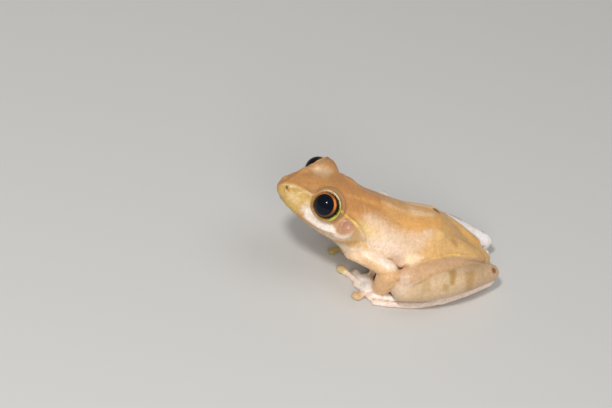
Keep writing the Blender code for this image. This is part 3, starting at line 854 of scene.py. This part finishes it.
FACE_MARKS = (
    ("snout", 1.0, 0, 3, (
        276, 184.5, 283, 183.5, 291, 184, 298, 186.5, 305, 190.5, 312, 195, 313, 200, 310.5, 207,
        303, 204, 300, 214, 292, 210, 283, 203, 275, 192)),
    ("snout_pale", 0.85, 0, 5, (
        286, 193, 292, 192.5, 297, 195, 300, 199, 298, 205, 293, 203, 288, 199)),
    ("snout_pale", 0.7, 0, 4, (301, 205, 306, 207, 308, 213, 303, 213)),
    ("snout_pale", 0.75, 0.16, 0.3, (283, 184.5, 291, 185.2, 298, 187.6, 306, 191.8, 311, 195)),
    ("fold", 0.9, 0.26, 0.3, (289, 189.8, 292, 190.3)),
    # Painted highlight on the nostril's rim
    ("lip", 0.75, 0.12, 0.2, (289.5, 186.3, 292, 186.3)),
    ("lip", 0.6, 0, 7, (302, 206, 307, 203, 312, 209, 313.5, 216, 306, 214, 300, 210)),
    ("lip", 1.0, 0, 4, (
        305, 208, 309, 207, 312.5, 211, 315, 216, 320, 220.5, 328, 223.5, 332, 224.5, 335.5, 229,
        337, 234.5, 333, 234, 325, 231.5, 318, 228, 311, 223, 304, 217)),
    ("lip", 0.6, 0.2, 0.5, (332, 230, 337, 234.5, 343, 237, 348, 236)),
    ("lower_lip", 0.9, 0, 2.5, (
        291, 209.5, 300, 217, 309, 224, 318, 229.5, 330, 234, 336, 236.5, 329, 237, 318, 233.5,
        308, 227, 298, 219)),
    ("lip_shade", 0.8, 0.06, 0.22, (290, 207.5, 299, 215.5, 308, 222.5, 315, 227, 321, 229.7)),
    ("lip_shade", 0.7, 0.07, 0.2, (321, 229.5, 327, 232, 334.5, 234)),
    # Painted shade along the lower edge of the snout and jaw
    ("jaw", 0.7, 0.26, 0.5, (
        279, 196, 284, 202, 292, 209.5, 300, 218, 308, 225.5, 316, 231.5, 324, 237, 331, 241,
        335, 246)),
    ("cheek", 1.0, 0, 6, (
        335, 223, 343, 217, 352, 219, 359, 229, 363, 239, 352, 243, 340, 241, 331, 237, 336, 231)),
    ("cheek_pale", 0.8, 0, 6, (
        333, 234, 340, 235.5, 347, 236, 351, 234, 350, 238, 343, 239.5, 334, 238)),
    ("tympanum", 0.95, 1.25, 0.5, (346, 226.5)),
    ("ear_rim", 0.35, 0.3, 0.5, (336.5, 222.5, 338.5, 226, 337.5, 230)),
    ("ear_rim", 0.65, 0.16, 0.4, (339.5, 227, 340.5, 222.5, 344, 219.5, 349, 219.7)),
    ("fold", 0.4, 0.18, 0.3, (343.5, 232)),
    # Painted highlight on the ear disc
    ("glint", 0.7, 0.16, 0.36, (348.7, 228)),
    ("ear_yellow", 0.8, 0, 6, (355, 220, 362, 221, 369, 227, 372, 236, 367, 238, 361, 231)),
    ("yellow", 0.85, 0.18, 0.34, (342, 211.5, 346, 215.5, 351, 219.5, 355, 223.5, 360, 229.5)),
    ("yellow", 0.95, 0.2, 0.3, (361, 242.5, 364, 244.5, 367.5, 248)),
    ("yellow", 0.45, 0.25, 0.5, (352, 245, 357, 245.5)),
    ("throat", 0.9, 0, 5, (
        336, 245, 345, 245, 356, 248, 364, 252, 360, 262, 350, 259, 343, 254)),
    ("fold", 1.0, 0.26, 0.4, (329, 238.5, 336, 240.8, 343, 242.5, 350, 243, 356, 241.5)),
)
FAR_LID_MARKS = (
    ("lid_dome", 0.85, 0, 6, (309, 169, 318, 164, 328, 166, 334, 171, 327, 178, 316, 176)),
    # Painted shade over the top of the far lid's dome
    ("speck", 0.22, 0, 7, (312, 161, 324, 154, 335, 158, 337, 166, 328, 166, 318, 163)),
)
SHOULDER_MARKS = (
    ("throat", 0.6, 0, 6, (338, 244, 352, 246, 360, 256, 364, 263, 352, 259, 343, 252)),
    # Painted shade along the throat's lower edge
    ("jaw", 0.8, 0.26, 0.4, (333, 243, 341, 252, 350, 260.5, 359, 266.5, 368, 269.5)),
)
HAND_MARKS = (
    ("disc", 1.0, 0.72, 0.3, (341, 269)),
    ("disc", 1.0, 0.62, 0.3, (357, 296)),
    ("disc_rim", 0.9, 0.2, 0.25, (336.5, 271, 337.5, 267.5, 339.5, 265.5, 343, 265, 345.5, 267)),
    ("disc_rim", 0.9, 0.2, 0.25, (353, 295, 355, 293, 359, 293)),
    ("disc_rim", 0.35, 0.5, 0.4, (357, 296)),
    ("tip", 1.0, 0.2, 0.25, (349.5, 297, 352, 296.5)),
    # Pale palm and inner finger: partly their own white, partly painted highlight
    ("toe_white", 0.95, 0, 4, (351, 265, 360, 266, 371, 279, 372, 293, 361, 291, 354, 279)),
)
KNEE_MARKS = (
    ("knee", 0.6, 0, 11, (398, 275, 410, 271, 410, 284, 405, 297, 397, 299, 391, 292, 392, 284)),
    ("toe_white", 0.55, 0.12, 0.3, (408.5, 286.5, 414, 283.5, 419, 281)),
)
SHANK_MARKS = (
    ("shank_rear", 0.9, 0, 14, (466, 262, 490, 262, 501, 270, 499, 280, 486, 288, 466, 296)),
    ("thigh", 0.6, 0.3, 0.7, (400, 297, 415, 298, 430, 298, 445, 296)),
    ("bar", 0.9, 0, 4, (447, 267, 455, 267, 457, 274, 454, 285, 450, 285, 450, 276)),
    ("bar", 0.6, 0, 4, (443, 284, 449, 285, 448, 292, 442, 291)),
    ("bar", 0.65, 0, 5, (465, 272, 474, 270, 474, 280, 472, 290, 466, 291, 466, 281)),
    ("bar", 0.4, 0, 6, (423, 279, 431, 279, 430, 292, 421, 293)),
)
HIP_MARKS = (
    ("yellow", 0.75, 0.14, 0.28, (413, 266, 420, 263, 430, 259, 440, 257, 450, 255.5)),
    ("yellow", 1.0, 0.18, 0.26, (445, 255.8, 452, 254.6, 458, 255)),
    ("yellow", 0.8, 0.15, 0.28, (457, 255, 465, 256, 476, 256)),
)
FOOT_MARKS = (
    ("toe_white", 1.0, 0, 4, (
        367, 291, 380, 291, 391, 294, 401, 298, 400, 300.5, 388, 299.5, 372, 297.5)),
    # Painted highlight along the foot's lower strip
    ("toe_white", 0.6, 0.28, 0.5, (378, 303, 395, 304.5, 412, 304, 430, 303, 446, 300)),
    # Painted shade in the groove between the foot's two strips
    ("crease", 0.8, 0.09, 0.2, (373, 299.5, 384, 300.5, 398, 302, 414, 302.5, 426, 301.5)),
)
# Marks that are alone on their solids
# Painted highlight along the upper arm's top
ARM_HIGHLIGHT_MARK = ("arm_pale", 0.95, 0, 8, (
    357, 248, 370, 248, 385, 254, 397, 261, 399, 270, 388, 270, 375, 261, 362, 256))
# Painted highlight on the elbow
ELBOW_HIGHLIGHT_MARK = ("toe_white", 0.65, 0.35, 0.8, (382, 259.5, 389, 266))
GROIN_PATCH = ("throat", 0.9, 0, 4, (407, 263, 414, 258, 423, 257, 419, 263, 411, 268))
HEEL_SPOT = ("heel", 1.0, 0.5, 0.35, (494, 270.5))
# Painted highlight on the far shank and heel, and on the far elbow
FAR_HEEL_HIGHLIGHT = ("white_limb", 1.0, 0, 3, (
    442, 206, 456, 208, 476, 216, 494, 228, 500, 240, 494, 250, 487, 250, 478, 246, 466, 238,
    454, 229, 445, 218))
FAR_ELBOW_HIGHLIGHT = ("white_limb", 1.0, 0, 3, (370, 184, 392, 184, 394, 202, 372, 198))
# The far fingers under the chin: partly their own olive, partly painted shade
FAR_HAND_SHADE = ("olive", 0.9, 0, 3, (318, 232, 340, 232, 342, 256, 318, 256))
# Small spots of the flank: the paint, its strength, its half width in millimetres and its pixel
SPOTS = (
    ("ear_rim", 0.6, 0.09, (379, 247)),
    ("ear_rim", 0.6, 0.12, (383, 253.5)),
    ("ear_rim", 0.5, 0.09, (386, 249)),
    ("ear_rim", 0.4, 0.09, (374, 255)),
    ("speck", 0.5, 0.12, (376, 252)),
    ("speck", 0.5, 0.12, (381, 251)),
    ("speck", 0.4, 0.12, (375, 246.5)),
    ("speck", 0.3, 0.12, (395, 232.5)),
    ("speck", 0.3, 0.12, (405, 236)),
)
SPOT_FADE_MM = 0.2
SPOT_MARKS = tuple((*spot[:3], SPOT_FADE_MM, spot[3]) for spot in SPOTS)
MARKS = (
    (TRUNK, BACK_MARKS + FACE_MARKS + SPOT_MARKS),
    (HEAD, FAR_LID_MARKS),
    (TRUNK + UPPER_ARM, SHOULDER_MARKS),
    (UPPER_ARM + TORSO + FOREARM, (ARM_HIGHLIGHT_MARK,)),
    (UPPER_ARM + FOREARM, (ELBOW_HIGHLIGHT_MARK,)),
    (HAND, HAND_MARKS),
    (LEG, KNEE_MARKS),
    (SHANK, SHANK_MARKS),
    (LEG + TORSO, HIP_MARKS),
    (LEG + TRUNK, (GROIN_PATCH,)),
    (LEG + FOOT, (HEEL_SPOT,)),
    (FOOT, FOOT_MARKS),
    (RIGHT_LEG, (FAR_HEEL_HIGHLIGHT,)),
    (RIGHT_ARM, (FAR_ELBOW_HIGHLIGHT,)),
    (RIGHT_HAND, (FAR_HAND_SHADE,)),
)

# The trunk's axis: its height by the place along the body, both in millimetres
AXIS_LINE_MM = ((-20, 15.4), (-13, 12.5), (-6.6, 10.0), (0, 7.8), (7.5, 7.4), (13, 4.6), (18, 2.9))
# The flank's upper edge: the angle round that axis by the place along the body, and its softness
FLANK_TOP = ((-9, 38), (-4, 30), (2, 22), (8, 2), (14, -18))
FLANK_FADE = 9
# The angles below the axis between which the belly sets in
BELLY_ANGLES = (22, 50)
# Places along the body between which a paint sets in or ends, in millimetres
FLANK_START_MM = (-9.0, -5.0)
REAR_FLANK_START_MM = (3.0, 8.0)
DORSUM_START_MM = (-5, 2)
RUMP_START_MM = (8, 12)
LOWER_LIP_SHARE = 0.85


def trunk_masks(canvas):
    """Flank and belly where the view does not show them, by the angle round the trunk's axis."""
    mm = canvas["mm"]
    along = mm[:, 1]
    angle = np.degrees(np.arctan2(mm[:, 2] - np.interp(along, *zip(*AXIS_LINE_MM)), mm[:, 0]))
    trunk = share_of(canvas, TRUNK)
    edge = np.interp(along, *zip(*FLANK_TOP))
    low = step_up(-angle, -edge - FLANK_FADE, -edge + FLANK_FADE)
    low = low * trunk * step_up(along, *FLANK_START_MM)
    rear = step_up(along, *REAR_FLANK_START_MM)
    rump = step_up(along, *RUMP_START_MM)
    return {
        "flank": low * (1 - rear),
        "rear_flank": low * rear,
        "belly": trunk * step_up(-angle, *BELLY_ANGLES),
        "dorsum": trunk * step_up(along, *DORSUM_START_MM) * (1 - rump),
        "rump": trunk * rump,
        "lower_lip": share_of(canvas, ("lower_jaw",), 0.2) * LOWER_LIP_SHARE,
    }


def limb_masks(canvas):
    return {
        "thigh": share_of(canvas, THIGH),
        "shank": share_of(canvas, SHANK),
        "upper_arm": share_of(canvas, UPPER_ARM, 0.6),
        "forearm": share_of(canvas, FOREARM, 0.5),
        "hand": share_of(canvas, HAND, 0.5),
        "foot": share_of(canvas, FOOT),
        # Painted shade of the folds between the solids
        "crease": creases(canvas)[1],
    }


# How pale the lids' edge is, by the angle up from the view's right
LID_GLOW = ((-60, 0.0), (-30, 0.7), (-5, 1.0), (50, 1.0), (80, 0.65), (130, 0.55), (155, 0.1))
# The angles between which the lids' green edge sets in and ends
LID_GREEN_START = (-110, -75)
LID_GREEN_END = (-20, 5)
# Where the lids' edge and ring end past the fold line, and the half width of that line
LID_EDGE_END_MM = (-0.20, -0.10)
LID_RING_END_MM = (-0.08, 0.06)
LID_LINE_WIDTH_MM = 0.09
LID_LINE_SHARE = 0.85
LID_DOME_SHARE = 0.35
LID_PAINT_FADE = 0.7


def lid_masks(canvas):
    eye = canvas["eye"]
    clock = eye["clock"]
    side = eye["front"] * (1 - LID_PAINT_FADE * eye["crown"])
    edge = (1 - step_up(eye["past_fold"], *LID_EDGE_END_MM)) * eye["front"]
    green = step_up(clock, *LID_GREEN_START) * (1 - step_up(clock, *LID_GREEN_END))
    return {
        "lid_dome": eye["front"] * eye["crown"] * LID_DOME_SHARE,
        "lid": side * (1 - step_up(eye["past_fold"], *LID_RING_END_MM)),
        "lid_edge": edge * np.interp(clock, *zip(*LID_GLOW)),
        "lid_green": edge * green,
        "lid_line": side * hill(eye["past_fold"], 0.0, LID_LINE_WIDTH_MM) * LID_LINE_SHARE,
    }


# Paints of the head's and body's sides, which stop where the far side turns to the view
SIDE_PAINTS = (
    "snout", "snout_pale", "cheek", "cheek_pale", "ear_yellow", "yellow", "flank", "cream",
    "groin", "lip",
)
FAR_SIDE_FACING = (0.0, 0.25)

# Paints of the back's middle, whose areas also reach over it as far as the view shows
CREST_PAINTS = ("dorsum", "neck", "hump", "rump")


def paint(skin, canvas):
    """Writes one attribute for each paint: how much of it lies at each point."""
    masks = {name: np.zeros(len(canvas["left"])) for name in PAINT_ORDER}
    for found in (trunk_masks(canvas), limb_masks(canvas), lid_masks(canvas)):
        for name, values in found.items():
            masks[name] = np.maximum(masks[name], values)
    for solids, marks in MARKS:
        share = share_of(canvas, solids)
        for name, strength, width, fade, numbers in marks:
            pixels = np.reshape(numbers, (-1, 2)).astype(float)
            single = is_single(name, solids)
            if width:
                laid = stroke(canvas, pixels, width, fade, single)
            else:
                laid = area(canvas, pixels, fade, single)
                if name in CREST_PAINTS:
                    laid = np.maximum(laid, area(canvas, pixels, fade, True))
            masks[name] = np.maximum(masks[name], laid * strength * share)
    far = (canvas["points"][:, 0] < MIDDLE_X) * step_up(canvas["one"][1], *FAR_SIDE_FACING)
    for name in SIDE_PAINTS:
        masks[name] *= 1 - far
    for name, values in masks.items():
        write_values(skin, name, np.clip(values, 0, 1))


# Materials
class Nodes:
    """A short way to add nodes to a material and join them."""

    def __init__(self, name):
        self.material = bpy.data.materials.new(name)
        self.material.use_nodes = True
        self.tree = self.material.node_tree
        self.shader = self.tree.nodes["Principled BSDF"]

    def add(self, kind, inputs=None, **values):
        node = self.tree.nodes.new(kind)
        for name, value in values.items():
            setattr(node, name, value)
        self.feed_all(node, inputs or {})
        return node

    def feed(self, socket, value):
        if isinstance(value, bpy.types.NodeSocket):
            self.tree.links.new(value, socket)
        else:
            socket.default_value = value

    def feed_all(self, node, inputs):
        for name, value in inputs.items():
            self.feed(node.inputs[name], value)

    def mix(self, share, one, two, blend="MIX"):
        node = self.add("ShaderNodeMix", data_type="RGBA", blend_type=blend)
        self.feed(node.inputs[0], share)
        self.feed(node.inputs[6], one)
        self.feed(node.inputs[7], two)
        return node.outputs[2]

    def maths(self, operation, one, two, clamp=False):
        node = self.add("ShaderNodeMath", operation=operation, use_clamp=clamp)
        self.feed(node.inputs[0], one)
        self.feed(node.inputs[1], two)
        return node.outputs[0]

    def noise(self, place, width, detail=3.0, roughness=0.55):
        return self.add("ShaderNodeTexNoise", {
            "Vector": place, "Scale": 1.0 / width, "Detail": detail, "Roughness": roughness,
        }).outputs[0]

    def spread(self, value, low, high, to_low=0.0, to_high=1.0):
        return self.add("ShaderNodeMapRange", {
            "Value": value, "From Min": low, "From Max": high, "To Min": to_low, "To Max": to_high,
        }).outputs[0]

    def attribute(self, name):
        return self.add("ShaderNodeAttribute", attribute_name=name).outputs["Fac"]

    def place(self):
        return self.add("ShaderNodeTexCoord").outputs["Object"]

    def tone(self, colour, value, low, high, dark, light):
        """The colour multiplied by a tone between dark and light, by a noise value."""
        tone = self.mix(self.spread(value, low, high), opaque(dark), opaque(light))
        return self.mix(1.0, colour, tone, "MULTIPLY")


def opaque(colour):
    return (*colour, 1.0)


# Widths of the skin's larger patches and of its mottling
PATCH_WIDTH = 2.4 * MM
MOTTLE_WIDTH = 0.7 * MM
# The middle span of a noise's values
NOISE_SPAN = (0.3, 0.7)
# How ragged the paints' edges are, and how the roughness varies
EDGE_WOBBLE = (-0.45, 0.45)
ROUGHNESS_SPREAD = (-0.07, 0.09)
# Tones: the noise values between which they turn, and the two tints that they multiply by
PATCH_TONE = (0.35, 0.65, (0.95, 0.93, 0.90), (1.05, 1.04, 1.04))
MOTTLE_TONE = (0.34, 0.66, (0.94, 0.92, 0.88), (1.05, 1.06, 1.08))
GRAIN_TONE = (0.36, 0.64, (0.94, 0.92, 0.89), (1.05, 1.06, 1.07))
# Shares of the grains and of the mottling in the relief, and its strength
GRAIN_RELIEF = 0.7
MOTTLE_RELIEF = 1.1
RELIEF_STRENGTH = 0.6
SKIN_FINISH = {
    "Subsurface Weight": 0.12,
    "Subsurface Radius": (1.0, 0.45, 0.25),
    "Subsurface Scale": 0.4 * MM,
    "Coat Weight": 0.25,
    "Coat Roughness": 0.22,
}


def skin_material(settings):
    nodes = Nodes("skin_moist")
    place = nodes.place()
    patchy = nodes.noise(place, PATCH_WIDTH, 4.0)
    mottle = nodes.noise(place, MOTTLE_WIDTH, 4.0, 0.6)
    grain = nodes.noise(place, settings.granule, 2.0)
    colour = opaque(settings.back)
    wobble = nodes.spread(mottle, *NOISE_SPAN, *EDGE_WOBBLE)
    for name in PAINT_ORDER:
        mask = nodes.attribute(name)
        edge = nodes.maths("MULTIPLY", nodes.maths("SUBTRACT", 1.0, mask), mask)
        share = nodes.maths("ADD", mask, nodes.maths("MULTIPLY", edge, wobble), True)
        colour = nodes.mix(share, colour, opaque(getattr(settings, name)))
    for value, tone in ((patchy, PATCH_TONE), (mottle, MOTTLE_TONE), (grain, GRAIN_TONE)):
        colour = nodes.tone(colour, value, *tone)
    cells = nodes.add("ShaderNodeTexVoronoi", {"Vector": place, "Scale": 1.0 / settings.granule})
    humps = nodes.maths("SUBTRACT", 1.0, cells.outputs["Distance"])
    humps = nodes.maths("MULTIPLY", humps, GRAIN_RELIEF)
    relief = nodes.maths("ADD", humps, nodes.maths("MULTIPLY", mottle, MOTTLE_RELIEF))
    bump = nodes.add("ShaderNodeBump", {
        "Strength": RELIEF_STRENGTH, "Distance": settings.relief, "Height": relief,
    })
    rough = [settings.roughness + change for change in ROUGHNESS_SPREAD]
    nodes.feed_all(nodes.shader, {
        "Base Color": colour,
        "Normal": bump.outputs[0],
        "Roughness": nodes.spread(mottle, *NOISE_SPAN, *rough),
        **SKIN_FINISH,
    })
    return nodes.material


# The iris: widths of its fine raggedness and of its web, and how ragged its rim is
IRIS_GRAIN_WIDTH = 0.16 * MM
IRIS_WEB_WIDTH = 0.09 * MM
IRIS_RAGGED_MM = (-0.03, 0.03)
IRIS_WEB_TONE = (0.42, 0.62, (1.1, 1.1, 1.1), (0.6, 0.52, 0.5))
# Where the iris sets in past the pupil's radius, and ends before its own
PUPIL_EDGE_MM = (-0.02, 0.07)
IRIS_EDGE_MM = (-0.10, 0.02)
EYE_FINISH = {
    "Roughness": 0.4,
    "Specular IOR Level": 0.0,
    "Coat Weight": 0.8,
    "Coat IOR": 1.33,
    "Coat Roughness": 0.03,
}


def eye_material(settings):
    nodes = Nodes("eye_wet")
    place = nodes.place()
    reach = nodes.attribute("from_pupil")
    fine = nodes.noise(place, IRIS_GRAIN_WIDTH, 3.0, 0.6)
    ragged = nodes.maths("ADD", reach, nodes.spread(fine, *NOISE_SPAN, *IRIS_RAGGED_MM))
    shade, bright = opaque(settings.iris_shade), opaque(settings.iris_tint)
    iris = nodes.mix(nodes.attribute("bright"), shade, bright)
    iris = nodes.tone(iris, nodes.noise(place, IRIS_WEB_WIDTH, 4.0, 0.7), *IRIS_WEB_TONE)
    pupil_edge = [settings.pupil / MM + past for past in PUPIL_EDGE_MM]
    iris_edge = [settings.iris_rim / MM + past for past in IRIS_EDGE_MM]
    colour = nodes.mix(nodes.spread(reach, *pupil_edge), opaque(settings.pupil_tint), iris)
    colour = nodes.mix(nodes.spread(ragged, *iris_edge), colour, opaque(settings.rim_tint))
    nodes.feed_all(nodes.shader, {"Base Color": colour, **EYE_FINISH})
    return nodes.material


# Eyes
class FROG_OT_eyes(bpy.types.Operator):
    """Makes the two wet eyes with their round pupils"""
    bl_idname = "frog.eyes"
    bl_label = "Make eyes"

    def execute(self, context):
        settings = context.scene.frog_eye
        material = eye_material(settings)
        make_eye(settings, material, "eye_left", LEFT_EYE, 1)
        make_eye(settings, material, "eye_right", RIGHT_EYE, -1)
        return {"FINISHED"}


# How bright the iris is round the pupil, by the angle up from the view's right
IRIS_GLOW = (
    (-180, 0.0), (-90, 0.05), (-60, 0.1), (-35, 0.35), (-15, 0.9), (0, 1.0), (20, 1.0), (35, 0.45),
    (55, 0.25), (80, 0.5), (110, 0.8), (140, 0.6), (165, 0.1), (180, 0.0),
)
BULGE_WIDTH = 1.5 * MM


def make_eye(settings, material, node, centre, side):
    """A ball with a bulged front, turned to look along the pupil's axis."""
    start_clean()
    bpy.ops.mesh.primitive_uv_sphere_add(segments=72, ring_count=48, radius=EYE_RADIUS)
    eye = bpy.context.object
    eye.name = node.replace("eye", "eyeball")
    eye.data.name = eye.name
    points = read_points(eye)
    reach = np.linalg.norm(points[:, :2], axis=1)
    front = points[:, 2] > 0
    lift = np.where(front, hill(reach, 0.0, BULGE_WIDTH) * settings.bulge, 0.0)
    points += points / EYE_RADIUS * lift[:, None]
    write_points(eye, points)
    look = Vector((PUPIL_AXIS.x * side, PUPIL_AXIS.y, PUPIL_AXIS.z))
    turn = look.to_track_quat("Z", "Y").to_matrix().to_4x4()
    eye.data.transform(Matrix.Translation(centre) @ turn)
    away = flipped(read_points(eye)) - np.array(LEFT_EYE)
    aside = away - (away @ np.array(PUPIL_AXIS))[:, None] * np.array(PUPIL_AXIS)
    write_values(eye, "from_pupil", np.where(front, reach, 2 * EYE_RADIUS - reach) / MM)
    write_values(eye, "bright", np.interp(clock_of(aside), *zip(*IRIS_GLOW)))
    eye.data.shade_smooth()
    eye.data.materials.append(material)
    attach(eye, BODY)
    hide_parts(node)


# Stage

# Lamps: name, width, direction as shares of the view's back, up and right, distance, and
# whether the gloss shows it
LAMPS = (
    ("flash", 0.05, (1, 0.34, -0.1), 0.42, True),
    ("fill", 0.5, (1, 0.9, 0.8), 0.7, False),
    ("front", 0.3, (1, -0.15, 0.1), 0.6, False),
)
ROOM_TINT = (1.0, 0.985, 0.96)
FLOOR_DROP = 0.01 * MM
FLOOR_PATCH_WIDTH = 0.15
FLOOR_SHADE = 0.96
FLOOR_ROUGHNESS = 0.75
CLIP_START = 0.01


class FROG_OT_stage(bpy.types.Operator):
    """Lays the floor, and sets the lights and the camera"""
    bl_idname = "frog.stage"
    bl_label = "Set stage"

    def execute(self, context):
        settings = context.scene.frog_stage
        start_clean()
        bpy.ops.mesh.primitive_plane_add(size=settings.floor_width, location=(0, 0, -FLOOR_DROP))
        floor = bpy.context.object
        floor.name = "floor"
        floor.data.materials.append(floor_material(settings))
        for name, width, shares, distance, shows_in_gloss in LAMPS:
            add_lamp(name, getattr(settings, name), width, shares, distance, shows_in_gloss)
        world = bpy.data.worlds.new("room")
        context.scene.world = world
        world.use_nodes = True
        background = world.node_tree.nodes["Background"]
        background.inputs["Color"].default_value = opaque(ROOM_TINT)
        background.inputs["Strength"].default_value = settings.ambient
        context.scene.view_settings.view_transform = "Standard"
        bpy.ops.object.camera_add(location=camera_place())
        camera = bpy.context.object
        camera.rotation_euler = Matrix((VIEW_RIGHT, VIEW_UP, VIEW_BACK)).transposed().to_euler()
        camera.data.sensor_width = SENSOR
        camera.data.lens = settings.lens
        camera.data.clip_start = CLIP_START
        context.scene.camera = camera
        return {"FINISHED"}


def floor_material(settings):
    nodes = Nodes("floor_pale")
    tone = nodes.noise(nodes.place(), FLOOR_PATCH_WIDTH, 2.0)
    shade = opaque([channel * FLOOR_SHADE for channel in settings.floor])
    nodes.feed_all(nodes.shader, {
        "Base Color": nodes.mix(tone, opaque(settings.floor), shade), "Roughness": FLOOR_ROUGHNESS,
    })
    return nodes.material


def add_lamp(name, watts, width, shares, distance, shows_in_gloss):
    back, up, right = shares
    direction = (VIEW_BACK * back + VIEW_UP * up + VIEW_RIGHT * right).normalized()
    bpy.ops.object.light_add(type="AREA", location=SHIFT + direction * distance)
    lamp = bpy.context.object
    lamp.name = name
    lamp.data.energy = watts
    lamp.data.shape = "DISK"
    lamp.data.size = width
    lamp.visible_glossy = shows_in_gloss
    lamp.rotation_euler = direction.to_track_quat("Z", "Y").to_euler()


class FROG_PT_panel(bpy.types.Panel):
    bl_idname = "FROG_PT_panel"
    bl_label = "Frog"
    bl_space_type = "VIEW_3D"
    bl_region_type = "UI"
    bl_category = "Frog"

    def draw(self, context):
        for operator in OPERATORS:
            self.layout.operator(operator.bl_idname)
        for name, group in SETTINGS:
            box = self.layout.box()
            for item in group.__annotations__:
                box.prop(getattr(context.scene, name), item)


SETTINGS = (
    ("frog_skin", FrogSkinSettings),
    ("frog_eye", FrogEyeSettings),
    ("frog_stage", FrogStageSettings),
)
OPERATORS = (FROG_OT_skin, FROG_OT_eyes, FROG_OT_stage)


def register():
    for name, group in SETTINGS:
        bpy.utils.register_class(group)
        setattr(bpy.types.Scene, name, bpy.props.PointerProperty(type=group))
    for item in OPERATORS + (FROG_PT_panel,):
        bpy.utils.register_class(item)


def unregister():
    for item in (FROG_PT_panel,) + OPERATORS[::-1]:
        bpy.utils.unregister_class(item)
    for name, group in SETTINGS[::-1]:
        delattr(bpy.types.Scene, name)
        bpy.utils.unregister_class(group)


def main():
    import json

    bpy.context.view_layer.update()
    register()
    bpy.ops.frog.skin()
    bpy.ops.frog.eyes()
    bpy.ops.frog.stage()


if __name__ == "__main__":
    main()
